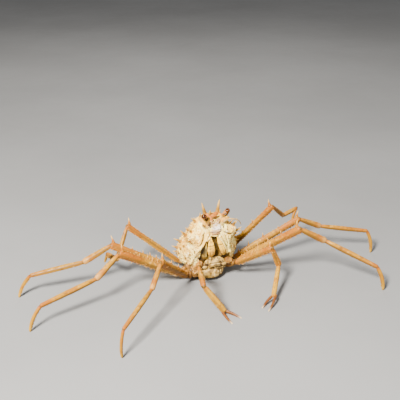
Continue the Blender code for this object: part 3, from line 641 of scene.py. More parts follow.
class Segment:
    """A stretch of a limb: where it starts, its directions and length, and its profile.

    Flat is its width as a share of its height, and bow how far its middle rises, as a share of its length.
    """

    def __init__(self, start, end, profile, half_height, flat=0.8, twist=0.0, bow=0.0):
        self.start = start
        self.end = end
        self.axis = (end - start).normalized()
        self.length = (end - start).length
        self.side, self.up = across(self.axis, twist)
        self.profile = profile
        self.half_height = half_height
        self.flat = flat
        self.bow = bow

    def middle(self, along, share):
        """The middle of its thickness at a place along it."""
        rise = self.bow * self.length * 4.0 * share * (1.0 - share)
        return self.start + self.axis * along + self.up * rise

    def shell(self, shape, ends=(0.0, 0.3), keel=0.0, edged=1.0, pale=0.0):
        """Its skin: keeled above, rounded off at both ends, and never quite even.

        The ends say how far it reaches past its two joints, in half heights. Edged above 1 gives it
        flatter faces that meet at ridges, and pale says how light its far end turns.
        """
        thick = self.half_height
        low = -ends[0] * thick
        high = self.length + ends[1] * thick
        count = max(14, int((high - low) / LIMB_STEP))
        rows = []
        for step in range(count + 1):
            near = 0.5 - 0.5 * math.cos(math.pi * step / count)
            along = low + (high - low) * near * 0.35 + (high - low) * step / count * 0.65
            share = along / self.length
            size = thick * read_profile(self.profile, share)
            for gap, soft in ((along - low, 0.55), (high - along, 0.75)):
                if gap < thick * soft:
                    inner = 1.0 - gap / (thick * soft)
                    size *= math.sqrt(max(1.0 - inner**2, 0.0)) * 0.55 + 0.45
            centre = self.middle(along, share)
            joint = max(0.0, 1.0 - abs(along) / (thick * 3.2), 0.6 - abs(self.length - along) / (thick * 2.4))
            light = pale * ease(self.length * 0.50, self.length * 0.95, along)
            ring = 0.85 * bump(along, thick * 0.28, thick * 0.20)
            row = []
            for angle in around(LIMB_SIDES):
                wide = bent(math.cos(angle), edged)
                tall = bent(math.sin(angle), edged)
                edges = bump(angle, math.pi / 2, 0.30) + 0.5 * bump(angle, math.pi * 1.5, 0.30)
                reach = size * (1.0 + keel * edges)
                point = centre + self.side * (reach * self.flat * wide) + self.up * (reach * tall)
                rough = noise_value(point, 160.0) * 0.040 + noise_value(point, 520.0, 3.0) * 0.035
                level = math.sin(angle)
                # darker on the underside: partly the olive colour of the lower side, partly painted shade
                under = 0.40 * ease(0.45, -0.05, level) * (1.0 - 0.8 * ease(-0.55, -0.85, level))
                under *= 1.0 - light
                row.append((point + (point - centre) * rough, (light, joint, max(under, ring))))
            rows.append(row)
        shape.rows(rows)

    def spine(self, shape, share, angle, length, radius, lean):
        """One spine at a share along it and an angle round it, leaning towards its far end."""
        turn = math.radians(angle)
        out = self.side * (math.cos(turn) * self.flat) + self.up * math.sin(turn)
        foot = self.middle(self.length * share, share)
        foot += out * (self.half_height * read_profile(self.profile, share) * 0.88)
        way = (out.normalized() + self.axis * lean).normalized()
        add_spine(shape, foot, foot + way * (length + self.half_height * 0.26), radius, bend=self.axis * 0.16)

    def spine_rows(self, shape, rows, gap=0.15, spread=0.3, swing=9.0, foot=(0.0003, 0.15), lean=0.8):
        """Rows of small spines: angle, first share, last share, count and length."""
        for angle, first, last, count, length in rows:
            for index in range(count):
                share = first + (last - first) * (index + random.uniform(gap, 1.0 - gap)) / count
                size = length * random.uniform(1.0 - spread, 1.0 + spread)
                turn = angle + random.uniform(-swing, swing)
                self.spine(shape, share, turn, size, foot[0] + size * foot[1], lean)

    def base_spines(self, shape, count, first, last, out_by, short, long):
        """Loose small spines round the base of a limb, between two shares along it."""
        for index in range(count):
            turn = random.uniform(0.0, 2.0 * math.pi)
            out = self.side * (math.cos(turn) * 0.8) + self.up * math.sin(turn)
            foot = self.start + (self.end - self.start) * random.uniform(first, last)
            foot += out * (self.half_height * out_by)
            way = (out + self.axis * 0.5).normalized()
            add_spine(shape, foot, foot + way * random.uniform(short, long), 0.00045)


def add_joint(shape, point, before, after, size, flat, twist=0.0):
    """The soft skin inside a joint, and a knob on each side that the joint turns on."""
    axis = (before + after).normalized()
    side, up = across(axis, twist)
    skin = (side * size * flat * 0.92, up * size * 0.88, axis * size * 0.85)
    add_ball(shape, point, skin, (0.0, 1.0, 0.60))
    for turn in (-1.0, 1.0):
        knob = point + side * (size * flat * 0.86 * turn) - axis * (size * 0.12)
        half = (side * size * 0.20, up * size * 0.30, axis * size * 0.30)
        add_ball(shape, knob, half, (0.0, 1.0, 0.85), 10, 6)


def merus_spines(shape, side, pair, segment):
    """The long spine at the end, the other large ones, and small ones above, below and on the faces."""
    segment.spine(shape, 0.985, 90.0, END_SPINES[pair], 0.00195, 0.75)
    for angle in (-62.0, -118.0):
        segment.spine(shape, 0.965, angle, 0.0022, 0.0008, 0.7)
    for share, length in MERUS_SPINES[(side, pair)]:
        segment.spine(shape, share, 88.0, length, 0.00070 + length * 0.10, 0.35)
    segment.spine_rows(shape, MERUS_ROWS, 0.1, 0.35, 7.0, (0.00045, 0.14), 0.5)
    for index in range(MERUS_GRANULES):
        share = random.uniform(0.04, 0.95)
        turn = random.choice((0.0, 180.0)) + random.uniform(-60.0, 60.0)
        segment.spine(shape, share, turn, random.uniform(0.0003, 0.0008), 0.00038, 0.6)


def add_bristles(shape, point, out, along, count, length, spread):
    """A few stiff hairs round a point."""
    for index in range(count):
        way = out + Vector([random.uniform(-0.5, 0.5) for part in range(3)])
        foot = point + along * random.uniform(-spread, spread)
        reach = length * random.uniform(0.5, 1.1)
        add_spine(shape, foot, foot + way.normalized() * reach, 0.00012, along * 0.25, 4, 4, stain=0.7)


def limb_joints(side, pair):
    """The ends of a limb's segments, and the direction of each segment."""
    points = [body_point(*mirrored(MERUS_STARTS[(side, pair)], side))]
    for length, pose in zip(LIMB_LENGTHS[pair], LIMB_POSES[(side, pair)]):
        points.append(points[-1] + heading(*pose) * length)
    return points, [(far - near).normalized() for near, far in zip(points, points[1:])]


def make_coxa(side, pair, name, end, after, material):
    """The short base of a limb: two stout rings, the outer one narrower, with the joint's skin between."""
    start = body_point(*mirrored(LIMB_ROOTS[pair], side))
    size = LIMB_HALF_HEIGHTS[pair][0]
    split = start + (end - start) * 0.66
    whole = Segment(start, end, COXA_RINGS[0], size)
    shape = Shape()
    Segment(start, split, COXA_RINGS[0], size).shell(shape, (0.0, 0.10), 0.04)
    Segment(split, end, COXA_RINGS[1], size).shell(shape, (0.0, 0.10))
    add_joint(shape, end, whole.axis, after, size * 0.66, 0.75)
    whole.base_spines(shape, 26, 0.25, 0.92, 0.92, 0.0005, 0.0014)
    shape.stain(0.55)
    shape.make(name + "coxa_shell", material, [name + "coxa"], "limb")


def limb_segment(side, pair, index, limb, looks, rows):
    """One segment's shape with its spines, and the joint at its far end where another segment follows."""
    points, axes, sizes = limb
    twist = LIMB_TWISTS.get((side, pair), 0.0)
    profile = HOOK_PROFILE if rows is HOOK_ROWS else PROFILES[index]
    bow = TOE_BOW if index == TOE else 0.0
    segment = Segment(points[index], points[index + 1], profile, sizes[index], FLATNESS[index], twist, bow)
    shape = Shape()
    segment.shell(shape, *looks)
    if index == 0:
        merus_spines(shape, side, pair, segment)
    else:
        segment.spine_rows(shape, rows)
    if index < TOE:
        small = min(sizes[index], sizes[index + 1])
        add_joint(shape, segment.end, axes[index], axes[index + 1], small * 0.92, FLATNESS[index], twist)
    return shape, segment


def make_leg(side, pair, materials):
    """A walking leg, a shell for each segment."""
    name = side + "_leg" + str(pair) + "_"
    points, axes = limb_joints(side, pair)
    sizes = list(LIMB_HALF_HEIGHTS[pair])
    if pair == 5:
        sizes[2] *= HOOK_WIDENING
        sizes[TOE] *= HOOK_TOE_WIDENING
    make_coxa(side, pair, name, points[0], axes[0], materials["coxa"])
    for index, word in enumerate(SEGMENTS):
        rows = HOOK_ROWS if pair == 5 and index == 2 else SMALL_ROWS.get(word)
        limb = (points, axes, sizes)
        shape, segment = limb_segment(side, pair, index, limb, SEGMENT_LOOKS[index], rows)
        if index in (1, 2):
            for share in (0.35, 0.62, 0.88):
                foot = segment.start + (segment.end - segment.start) * share
                foot -= segment.up * (segment.half_height * 0.9)
                add_bristles(shape, foot, -segment.up, segment.axis, 4, 0.0028, 0.006)
        if index == TOE:
            shape.marks = [
                (max(tip, toe_share(point, segment)), joint, stain)
                for point, (tip, joint, stain) in zip(shape.points, shape.marks)
            ]
        material = materials["toe" if index == TOE else "limb"]
        shape.make(name + word + "_shell", material, [name + word], "limb")


def toe_share(point, toe):
    """How far along a toe a point lies, for the horn at its end."""
    way = toe.end - toe.start
    return ease(0.55, 1.0, (point - toe.start).dot(way) / way.length_squared)


def make_finger(shape, root, tip, size, inward):
    """One finger: slim, bent towards the other, with small blunt teeth along its inner edge."""
    middle = (root + tip) / 2 - inward * FINGER_CURVE
    path = smooth_path([root, middle, tip], 22)
    radii = [size * read_profile(FINGER_PROFILE, step / 21) for step in range(22)]
    marks = [(0.25 + 0.75 * step / 21, max(0.0, 1.0 - step / 4), 0.0) for step in range(22)]
    add_tube(shape, path, radii, marks, sides=16, flat=0.85)
    tooth = (inward * 0.00055, (tip - root).normalized() * 0.0006, Vector((0, 0, 0.0005)))
    for index in range(13):
        step = 3 + int(index * 1.35)
        add_ball(shape, path[step] + inward * (radii[step] * 0.62), tooth, (0.8, 0.0, 0.0), 8, 5)


def make_claw(side, materials):
    """The claw limb, with its hand and two fingers."""
    name = side + "_claw_"
    points, axes = limb_joints(side, 1)
    sizes = LIMB_HALF_HEIGHTS[1]
    make_coxa(side, 1, name, points[0], axes[0], materials["coxa"])
    for index, word in enumerate(SEGMENTS[:2]):
        shape, _ = limb_segment(side, 1, index, (points, axes, sizes), CLAW_LOOK, WRIST_ROWS)
        shape.make(name + word + "_shell", materials["limb"], [name + word], "limb")
    knuckle = points[3]
    tips = FINGERTIPS[side]
    middle = ((tips[0] + tips[1]) / 2 - knuckle).normalized()
    apart = tips[1] - tips[0]
    apart = (apart - middle * apart.dot(middle)).normalized()
    palm = Shape()
    hand = Segment(points[2], knuckle, PALM_PROFILE, sizes[2], FLATNESS[2])
    hand.shell(palm, (0.05, 0.10), 0.03)
    hand.spine_rows(palm, PALM_ROWS)
    for share in (0.45, 0.7, 0.9):
        foot = hand.start + hand.axis * (hand.length * share) + hand.up * sizes[2]
        add_bristles(palm, foot, hand.up, hand.axis, 10, 0.0042, 0.005)
    make_finger(palm, knuckle - apart * 0.0021 - middle * 0.0030, tips[0], sizes[3], apart)
    palm.make(name + "palm_shell", materials["claw"], [name + "palm"], "claw")
    finger = Shape()
    root = knuckle + apart * 0.0022
    make_finger(finger, root, tips[1], sizes[3], -apart)
    add_joint(finger, root, axes[2], middle, sizes[3] * 0.9, 0.9)
    finger.make(name + "finger_shell", materials["claw"], [name + "finger"], "claw")


def make_stump(materials):
    """The base that is left of the lost limb, closed with a dark scar."""
    start, end = (body_point(*place) for place in STUMP_ENDS)
    size = LIMB_HALF_HEIGHTS[2][0]
    shape = Shape()
    stump = Segment(start, end, STUMP_PROFILE, size)
    stump.shell(shape, (0.0, 0.05))
    scar = (stump.side * size * 0.55, stump.up * size * 0.62, stump.axis * size * 0.25)
    add_ball(shape, end, scar, (0.0, 0.9, 1.0), rough=0.2)
    stump.base_spines(shape, 14, 0.4, 0.95, 0.95, 0.0006, 0.0016)
    shape.stain(0.5)
    shape.make("left_leg2_stump_shell", materials["coxa"], ["left_leg2_stump"], "limb")


def station_at(forward):
    """The carapace's half width, height and depth at any place along it, smooth between the stations."""
    forward = min(max(forward, BODY_STATIONS[-1][0]), BODY_STATIONS[0][0])
    index = stretch_of(BODY_STATIONS, forward)
    return [smooth_value(BODY_STATIONS, forward, index, part) for part in (1, 2, 3)]


def between(pair, forward):
    """A value that changes evenly from the front to the rear of the body's middle stretch."""
    share = min(max((forward + 0.10) / 0.45, 0.0), 1.0)
    return pair[1] + (pair[0] - pair[1]) * share


def mouth_sink(forward, left):
    """How deep the field of the mouth legs lies inside the underside."""
    low = -0.092 + 0.040 * ease(0.33, 0.42, forward)
    high = 0.160 - 0.30 * (forward - 0.105)
    edge = min(left - low, high - left)
    inside = ease(0.0, 0.020, edge) * ease(0.085, 0.125, forward) * (1.0 - ease(0.385, 0.42, forward))
    return MOUTH_DEPTH * inside


def plain_outline(forward, turn, side):
    """Left and up of the bare carapace: 0 to 1 is its back, 1 to 2 its flank, 2 to 3 its underside."""
    wide, high, deep = station_at(forward)
    level = WIDEST_LEVEL
    if turn <= 1.0:
        angle = turn * math.pi / 2
        return wide * math.sin(angle) * side, level + (high - level) * max(math.cos(angle), 0.0)
    low = wide * between(FLOOR_SHARES, forward)
    power = between(FLANK_POWERS, forward)
    if turn <= 2.0:
        angle = (turn - 1.0) * math.pi / 2
        left = low + (wide - low) * max(math.cos(angle), 0.0) ** power
        return left * side, level - (level + deep) * math.sin(angle) ** power
    left = low * (3.0 - turn) * side
    return left, -deep + mouth_sink(forward, left)


def nearest(points):
    """A tree that finds the nearest of the points."""
    tree = kdtree.KDTree(len(points))
    for index, point in enumerate(points):
        tree.insert(point, index)
    tree.balance()
    return tree


def line_points(places):
    """Close points along a line of places."""
    points = []
    for near, far in zip(places, places[1:]):
        near = Vector(near)
        far = Vector(far)
        count = max(2, int((far - near).length / FOLD_STEP))
        points += [near + (far - near) * (index / count) for index in range(count)]
    points.append(Vector(places[-1]))
    return points


def fold_finder(lines):
    """A way to find how near a place is to each fold, and the fold's measures."""
    finders = []
    for places, width, height, stain in lines:
        points = line_points(places)
        finders.append((nearest(points), len(points) - 1, width, height, stain))
    return finders


FOLDS = {side: fold_finder(lines) for side, lines in FOLD_LINES.items()}


def fold_relief(place, side):
    """What the folds add to the height of the surface at a place, and the shade painted in them."""
    high = 0.0
    brown = 0.0
    lines = FOLDS[side]
    if side < 0 and place.y > -0.09:
        lines = FOLDS[-1.0] + FOLDS[1.0][:1]
    elif side > 0 and place.y < 0.03:
        lines = FOLDS[1.0] + FOLDS[-1.0][4:5]
    for tree, last, width, height, stain in lines:
        _, index, gap = tree.find(place)
        if gap > width * 3.0:
            continue
        taper = min(1.0, (min(index, last - index) + 1.0) / 4.0)
        near = math.exp(-((gap / width) ** 2)) * taper
        high += height * near
        brown = max(brown, stain * near)
    return high, brown


def skin_place(forward, turn, side):
    """The place whose noise shapes the skin, so that the two sides aren't the same."""
    return Vector((forward, turn * 0.45, 3.0 if side > 0 else 11.0))


def relief(forward, turn, side):
    """How far the surface stands out from the bare form, in body shares."""
    high = 0.0
    if turn < 1.1:
        for height, centre, length, middle, width in BACK_REGIONS:
            high += height * bump(forward, centre, length) * bump(turn, middle, width)
        high += 0.008 * bump(forward, -0.40, 0.06) * (1.0 - ease(0.25, 0.6, turn))
        neck = 0.035 + 0.17 * turn**1.4
        high -= 0.022 * bump(forward, neck, 0.020) * (1.0 - ease(0.85, 1.1, turn))
        second = -0.075 + 0.05 * turn
        high -= 0.013 * bump(forward, second, 0.014) * (1.0 - ease(0.55, 0.8, turn))
        high -= 0.012 * bump(turn, 0.36 - 0.2 * (forward + 0.2), 0.030) * bump(forward, -0.23, 0.13)
    high -= 0.010 * bump(turn, 0.93, 0.016) * bump(forward, -0.02, 0.40)
    if 1.0 < turn < 2.0:
        high += 0.012 * bump(turn, 1.22, 0.16) * bump(forward, -0.10, 0.25)
    flat = 1.0 - 0.8 * ease(2.0, 2.3, turn)
    return high + flat * 0.0080 * noise.noise(skin_place(forward, turn, side) * 9.0)


def rough_skin(forward, turn, side):
    """The finer bumps and pits of the surface, in body shares."""
    place = skin_place(forward, turn, side)
    flat = 1.0 - 0.75 * ease(2.0, 2.3, turn)
    high = 0.0085 * noise.noise(place * 24.0) + 0.0090 * max(noise.noise(place * 46.0), -0.12)
    return flat * high + 0.0024 * noise.noise(place * 95.0)


def cheek_push(place, side):
    """How far the swelling beside the mouth pushes the surface out."""
    gap = place - Vector((CHEEK_CENTRE[0], CHEEK_CENTRE[1] * side, CHEEK_CENTRE[2]))
    scaled = Vector([part / half for part, half in zip(gap, CHEEK_HALF_SIZES)])
    size = max(scaled.length, 0.001)
    inside = (1.0 - size) * gap.length / size
    return 0.5 * (inside + math.sqrt(inside**2 + 0.014**2)) - 0.001 if size < 1.5 else 0.0


def underside_shade(forward, turn, left):
    """How dark the shade painted on the underside is: under the flank's lower edge, and beside and behind the
    mouth.
    """
    edge = ease(1.84, 1.97, turn) * ease(0.17, 0.08, forward) * 0.95
    if turn < 2.0:
        return edge
    shown = ease(2.0, 2.1, turn)
    behind = ease(0.150, 0.105, forward) * ease(0.175, 0.150, left) * 0.9
    ridge_left = -0.118 - 0.102 * ease(0.345, 0.175, forward) - 0.034 * ease(0.175, -0.030, forward)
    beside = ease(0.0, 0.020, left - ridge_left) * ease(-0.092, -0.112, left) * ease(0.40, 0.22, forward)
    return max(edge, shown * behind, shown * beside * 0.80)


def surface(forward, turn, side, folds=True):
    """A place on the finished carapace in body shares, the direction out of it, and how dark it is painted
    there.
    """
    left, up = plain_outline(forward, turn, side)
    near = plain_outline(forward, max(turn - 0.02, 0.0), side)
    far = plain_outline(forward, min(turn + 0.02, 3.0), side)
    ahead = plain_outline(forward + 0.015, turn, side)
    behind = plain_outline(forward - 0.015, turn, side)
    along = Vector((0.03, ahead[0] - behind[0], ahead[1] - behind[1]))
    sideways = Vector((0.0, far[0] - near[0], far[1] - near[1]))
    out = along.cross(sideways).normalized() * side
    place = Vector((forward, left, up))
    rough = rough_skin(forward, turn, side)
    high = relief(forward, turn, side) + rough
    if 0.8 < turn < 2.2:
        high += max(cheek_push(place, side), 0.0) * ease(0.8, 1.05, turn) * (1.0 - ease(1.9, 2.2, turn))
    # darker in the low pits of the rough skin
    brown = 0.55 * ease(-0.0010, -0.0052, rough)
    if folds and turn > 1.0:
        more, dark = fold_relief(place, side)
        sink = mouth_sink(forward, left) if turn > 2.0 else 0.0
        high += more * (1.0 - min(sink / 0.05, 1.0))
        # painted shade in the folds, under the flank's edge and beside and behind the mouth; darker too the
        # deeper the mouth field sinks
        brown = max(brown, dark, underside_shade(forward, turn, left), min(sink / 0.055, 0.76))
    return place + out * high, out, brown


def surface_spine(forward, turn, side, lean, folds=True):
    """The foot and the direction of a spine on the carapace that leans forward."""
    place, out, _ = surface(forward, turn, side, folds)
    way = body_direction(*out) + body_direction(1.0, 0.0, 0.0) * lean
    return body_point(*place), way.normalized()


def end_rows(first_row, sign):
    """Rows that close the carapace at its front or rear, each smaller and a little further out."""
    centre = sum(first_row, Vector()) / len(first_row)
    ahead = body_direction(sign, 0.0, 0.0)
    rows = []
    for share, reach in END_ROWS:
        places = [centre + (point - centre) * share + ahead * reach for point in first_row]
        rows.append([place + ahead * (0.0009 * noise.noise(place * 260.0)) for place in places])
    return rows


def halo_marks(rows, dark_marks, spines):
    """Orange round the spines' feet and at some places, and brown: shade painted in the folds, and dark rings
    painted round some spines as their shadows.
    """
    turns = TURNS + list(reversed(TURNS[1:-1]))
    warm_spots = [(body_point(*place), size * CARAPACE_LENGTH, share) for place, size, share in WARM_SPOTS]
    tree = nearest([base + (tip - base) * 0.15 for base, tip, _, _, _ in spines])
    marks = []
    for row, line in zip(rows, dark_marks):
        marks.append([])
        for place, brown, turn in zip(row, line, turns):
            _, index, gap = tree.find(place)
            (strength, reach), shadow_ringed = spines[index][3:]
            warm = max(strength * math.exp(-((gap / reach) ** 2)), 0.46 * bump(turn, 1.04, 0.20))
            for spot, radius, share in warm_spots:
                warm = max(warm, share * math.exp(-(((place - spot).length / radius) ** 2)))
            # a dark ring round the spine, painted as its shadow
            if shadow_ringed:
                brown = max(brown, bump(gap, 0.0016, 0.0009))
            marks[-1].append((0.0, warm, brown))
    return marks


def shell_spines():
    """Every large and middling spine of the carapace.

    Each has its foot, tip and radius, the strength and reach of the orange round its foot, and
    whether a dark ring is painted round it as its shadow.
    """
    spines = []
    for side in (1.0, -1.0):
        for base, tip, radius in FLANK_SPINES:
            ends = [body_point(place[0], place[1] * side, place[2]) for place in (base, tip)]
            spines.append((*ends, radius * 0.95, (0.85, 0.0034), False))
        for first, last, turn, count, length in SPINE_ROWS:
            for index in range(count):
                forward = first + (last - first) * (index + random.uniform(0.15, 0.85)) / count
                foot, way = surface_spine(forward, turn + random.uniform(-0.05, 0.05), side, 0.45, False)
                reach = length * random.uniform(0.6, 1.25)
                tip = foot + way * reach
                spines.append((foot - way * SPINE_ROOT, tip, 0.0006 + reach * 0.18, (0.45, 0.0022), False))
        for forward, turn, length in FLANK_POINTS:
            foot, way = surface_spine(forward, turn, side, 0.7)
            tip = foot + way * length
            spines.append((foot - way * SPINE_ROOT, tip, 0.0004 + length * 0.13, (0.5, 0.0020), True))
    for ends, radius, reach in ROSTRUMS:
        spines.append((*(body_point(*place) for place in ends), radius, (0.85, reach), False))
    return spines


def make_carapace(materials):
    """The carapace: a dense skin with regions, grooves and folds, then its spines and granules."""
    shape = Shape()
    ahead = body_direction(1.0, 0.0, 0.0)
    spines = shell_spines()
    rows = []
    dark_marks = []
    front, rear = BODY_STATIONS[0][0], BODY_STATIONS[-1][0]
    for step in range(SHELL_ROWS + 1):
        forward = front + (rear - front) * step / SHELL_ROWS
        found = [surface(forward, turn, 1.0) for turn in TURNS]
        found += [surface(forward, turn, -1.0) for turn in reversed(TURNS[1:-1])]
        rows.append([body_point(*place) for place, _, _ in found])
        dark_marks.append([brown for _, _, brown in found])
    marks = halo_marks(rows, dark_marks, spines)
    snout_mark = (0.0, 0.25, 0.45)
    marks = [[snout_mark] * len(rows[0])] * len(END_ROWS) + marks + [marks[-1]] * len(END_ROWS)
    rows = list(reversed(end_rows(rows[0], 1.0))) + rows + end_rows(rows[-1], -1.0)
    shape.rows([list(zip(row, line)) for row, line in zip(rows, marks)])
    for base, tip, radius, _, shadow_ringed in spines:
        flare = 1.1 if shadow_ringed else 1.9
        add_spine(shape, base, tip, radius, -ahead * 0.08, 12, 9, flare)
    for index in range(SHELL_GRANULES):
        side = random.choice((1.0, -1.0))
        turn = random.uniform(0.02, 1.75)
        foot, way = surface_spine(random.uniform(-0.505, 0.46), turn, side, 0.5)
        reach = random.uniform(0.0003, 0.0012)
        add_spine(shape, foot, foot + way * reach, 0.0004 + reach * 0.28, sides=6, rings=3, flare=1.3)
    for index in range(SHELL_WARTS):
        side = random.choice((1.0, -1.0))
        place, out, _ = surface(random.uniform(-0.46, 0.44), random.uniform(0.05, 1.85), side)
        size = random.uniform(0.0006, 0.0014)
        out = body_direction(*out)
        sideways, up = across(out)
        axes = (sideways * size, up * size, out * (size * 0.85))
        add_ball(shape, body_point(*place), axes, (0.0, 0.0, 0.0), 10, 7, 0.10)
    snout(shape)
    shape.make("carapace_shell", materials["shell"], ["carapace"], "shell")


def body_line(places, count):
    """Evenly many points on a curve through body places."""
    return smooth_path([body_point(*place) for place in places], count)


def ridge(shape, places, radii, mark):
    """A raised edge through places in thousandths, with radii in millimetres at even steps along it."""
    count = 6 * len(places)
    path = body_line(shares(places), count)
    radii = shares(radii)
    sizes = []
    for step in range(count):
        value = step / (count - 1) * (len(radii) - 1)
        index = min(int(value), len(radii) - 2)
        size = radii[index] + (radii[index + 1] - radii[index]) * (value - index)
        sizes.append(size * (1.0 + 0.06 * noise.noise(path[step] * 300.0)))
    add_tube(shape, path, sizes, [mark] * count, sides=14)


def lump(shape, place, axes, mark, rough=0.12, turns=20, bands=14):
    """A rounded lump at a body place, with its place and half axes in thousandths."""
    half = [
        body_direction(*(size if part == index else 0.0 for part in range(3))) * CARAPACE_LENGTH
        for index, size in enumerate(shares(axes))
    ]
    add_ball(shape, body_point(*shares(place)), half, mark, turns, bands, rough)


def snout(shape):
    """The plate between the front spines, the rims of the eye sockets, the bases of the feelers, and dark
    pieces painted as the shade in hollows and creases.
    """
    tan = (0.0, 0.95, 0.05)
    rosy = (0.0, 0.60, 0.05)
    # the mark of the dark pieces painted as shade
    dark = (0.0, 0.5, 1.0)
    ridge(shape, ((460, -40, 100), (505, -45, 92), (520, -10, 78), (522, 30, 74), (515, 80, 82),
                  (470, 92, 95)),
          (2.6, 2.4, 2.1, 2.3, 2.8), tan)
    ridge(shape, ((500, 0, 85), (515, 30, 60), (505, 70, 55)), (3, 3.4, 2.6), tan)
    ridge(shape, ((480, 10, 95), (530, 4, 84), (560, 0, 82)), (2.6, 2.2, 1.4), rosy)
    # rim of the right socket, from the spine down to the mouth's side
    ridge(shape, ((500, -60, 85), (520, -20, 60), (522, 0, 30), (515, -10, -5)), (1.6, 1.8, 1.7, 1.2), tan)
    ridge(shape, ((490, -115, 80), (512, -118, 40), (518, -100, -10), (510, -78, -55), (495, -70, -90)),
          (2.2, 2.4, 2.3, 2.1, 1.6), rosy)
    lump(shape, (492, -120, -20), (26, 45, 60), (0.0, 0.10, 0.0))
    # rim of the left socket, and a dark lump painted as the shade of the hollow under the eyestalk
    ridge(shape, ((495, 110, 85), (512, 120, 62), (515, 145, 50), (505, 175, 48)), (2, 1.9, 1.6, 1), rosy)
    lump(shape, (500, 160, 22), (12, 30, 20), (0.0, 0.4, 1.0))
    # bases of the antennae
    ridge(shape, ((490, 110, -20), (520, 140, -20), (545, 170, -36)), (3.4, 3.2, 2.2), (0.0, 0.60, 0.10))
    ridge(shape, ((520, 150, -20), (548, 178, -30), (575, 196, -40)), (2.6, 2.4, 1.8), (0.55, 0.10, 0.0))
    lump(shape, (560, 180, -16), (12, 14, 10), (0.75, 0.0, 0.0))
    ridge(shape, ((490, -80, -40), (525, -105, -48), (545, -122, -62)), (3.2, 3, 2), (0.0, 0.50, 0.10))
    # a dark ridge painted as the shadow under the plate, and small lumps below it
    ridge(shape, ((512, -25, 34), (516, 30, 26), (514, 80, 30), (508, 112, 40)), (1.4, 1.7, 1.5, 1), dark)
    for index in range(34):
        place = (random.uniform(502, 514), random.uniform(-15, 125), random.uniform(-35, 22))
        size = random.uniform(4, 10)
        mark = random.choice(((0.0, 0.1, 0.1), (0.0, 0.3, 0.3), (0.0, 0.1, 0.5), (0.0, 0.2, 0.9)))
        lump(shape, place, (size, size, size), mark, 0.2, 9, 7)
    # dark ridges and lumps beside the mouth, painted as the shade in its creases
    ridge(shape, ((508, -24, 40), (511, -40, -5), (506, -46, -45), (498, -40, -85)), (2, 3, 2.8, 2), dark)
    lump(shape, (500, -40, -75), (13, 20, 18), dark)
    lump(shape, (500, 122, -60), (10, 10, 22), dark)
    ridge(shape, ((508, 118, -40), (500, 120, -75), (480, 118, -110)), (1, 1.4, 1), dark)


def make_mouth(materials):
    """The pale lumpy field in front of the mouth, and the golden gap between the mouth legs."""
    shape = Shape()
    white = (1.0, 0.0, 0.0)
    cream = (0.55, 0.0, 0.0)
    lump(shape, (488, 46, -88), (24, 64, 40), white, 0.35, 34, 24)
    lump(shape, (500, 72, -78), (20, 26, 22), white, 0.30)
    lump(shape, (498, 18, -72), (18, 22, 20), (0.8, 0.1, 0.1), 0.30)
    lump(shape, (505, 45, -52), (16, 18, 14), cream, 0.30)
    lump(shape, (508, 70, -40), (16, 14, 16), cream, 0.30)
    lump(shape, (506, 22, -36), (14, 14, 14), (0.3, 0.3, 0.2), 0.30)
    lump(shape, (500, 98, -55), (14, 12, 18), cream, 0.30)
    lump(shape, (460, 30, -128), (26, 75, 22), (0.55, 0.25, 0.12), 0.30, 34, 20)
    lump(shape, (438, 22, -146), (22, 55, 16), (0.25, 0.45, 0.2), 0.30, 30, 16)
    ridge(shape, ((515, -15, -50), (530, -2, -20), (520, 18, 0)), (1, 1.5, 1), (0.2, 0.5, 0.0))
    ridge(shape, ((515, 60, -20), (530, 85, -10), (520, 105, -25)), (1, 1.3, 0.9), (0.2, 0.5, 0.1))
    for index in range(70):
        place = (random.uniform(495, 515), random.uniform(0, 95), random.uniform(-115, -35))
        size = random.uniform(3, 7)
        lump(shape, place, (size, size, size), random.choice((white, cream)), 0.2, 8, 6)
    shape.make("mouth_field", materials["mouth"], [], "shell")


def make_sternum(materials):
    """The breastplate: joined plates with grooves between them, and a pale bulge at its front."""
    shape = Shape()
    rows = []
    for step in range(81):
        forward = 0.090 - 0.290 * step / 80
        wide, thick = even_values(STERNUM_RINGS, forward)
        top = -station_at(forward)[2] - 0.003
        row = []
        for angle in around(64):
            left = wide * math.cos(angle)
            level = math.sin(angle)
            below = max(-level, 0.0)
            groove = max(bump(forward, place - 0.25 * abs(left), 0.008) for place in STERNUM_GROOVES)
            groove = max(groove, bump(abs(left), 0.078 + 0.1 * (0.05 - forward), 0.007) * 0.8)
            up = top - thick * (0.5 - 0.5 * bent(level, 0.6))
            up += groove * 0.020 * below
            up -= 0.012 * bump(left, 0.0, 0.050) * bump(forward, 0.030, 0.035) * below
            place = Vector((forward, left, up))
            up += (0.006 * noise.noise(place * 14.0) + 0.004 * noise.noise(place * 34.0)) * below
            blotch = 0.55 * ease(0.06, 0.26, noise.noise(place * 22.0))
            pale = 0.60 * bump(left, 0.0, 0.055) * bump(forward, 0.040, 0.040)
            # darker in the grooves between the plates and in blotches, lighter on the bulge at the front
            stain = max(0.22 + 0.80 * groove + blotch - pale, 0.0)
            row.append((body_point(forward, left, up), (0.0, 0.0, stain)))
        rows.append(row)
    shape.rows(rows)
    shape.make("sternum_shell", materials["base"], ["sternum"], "underside")


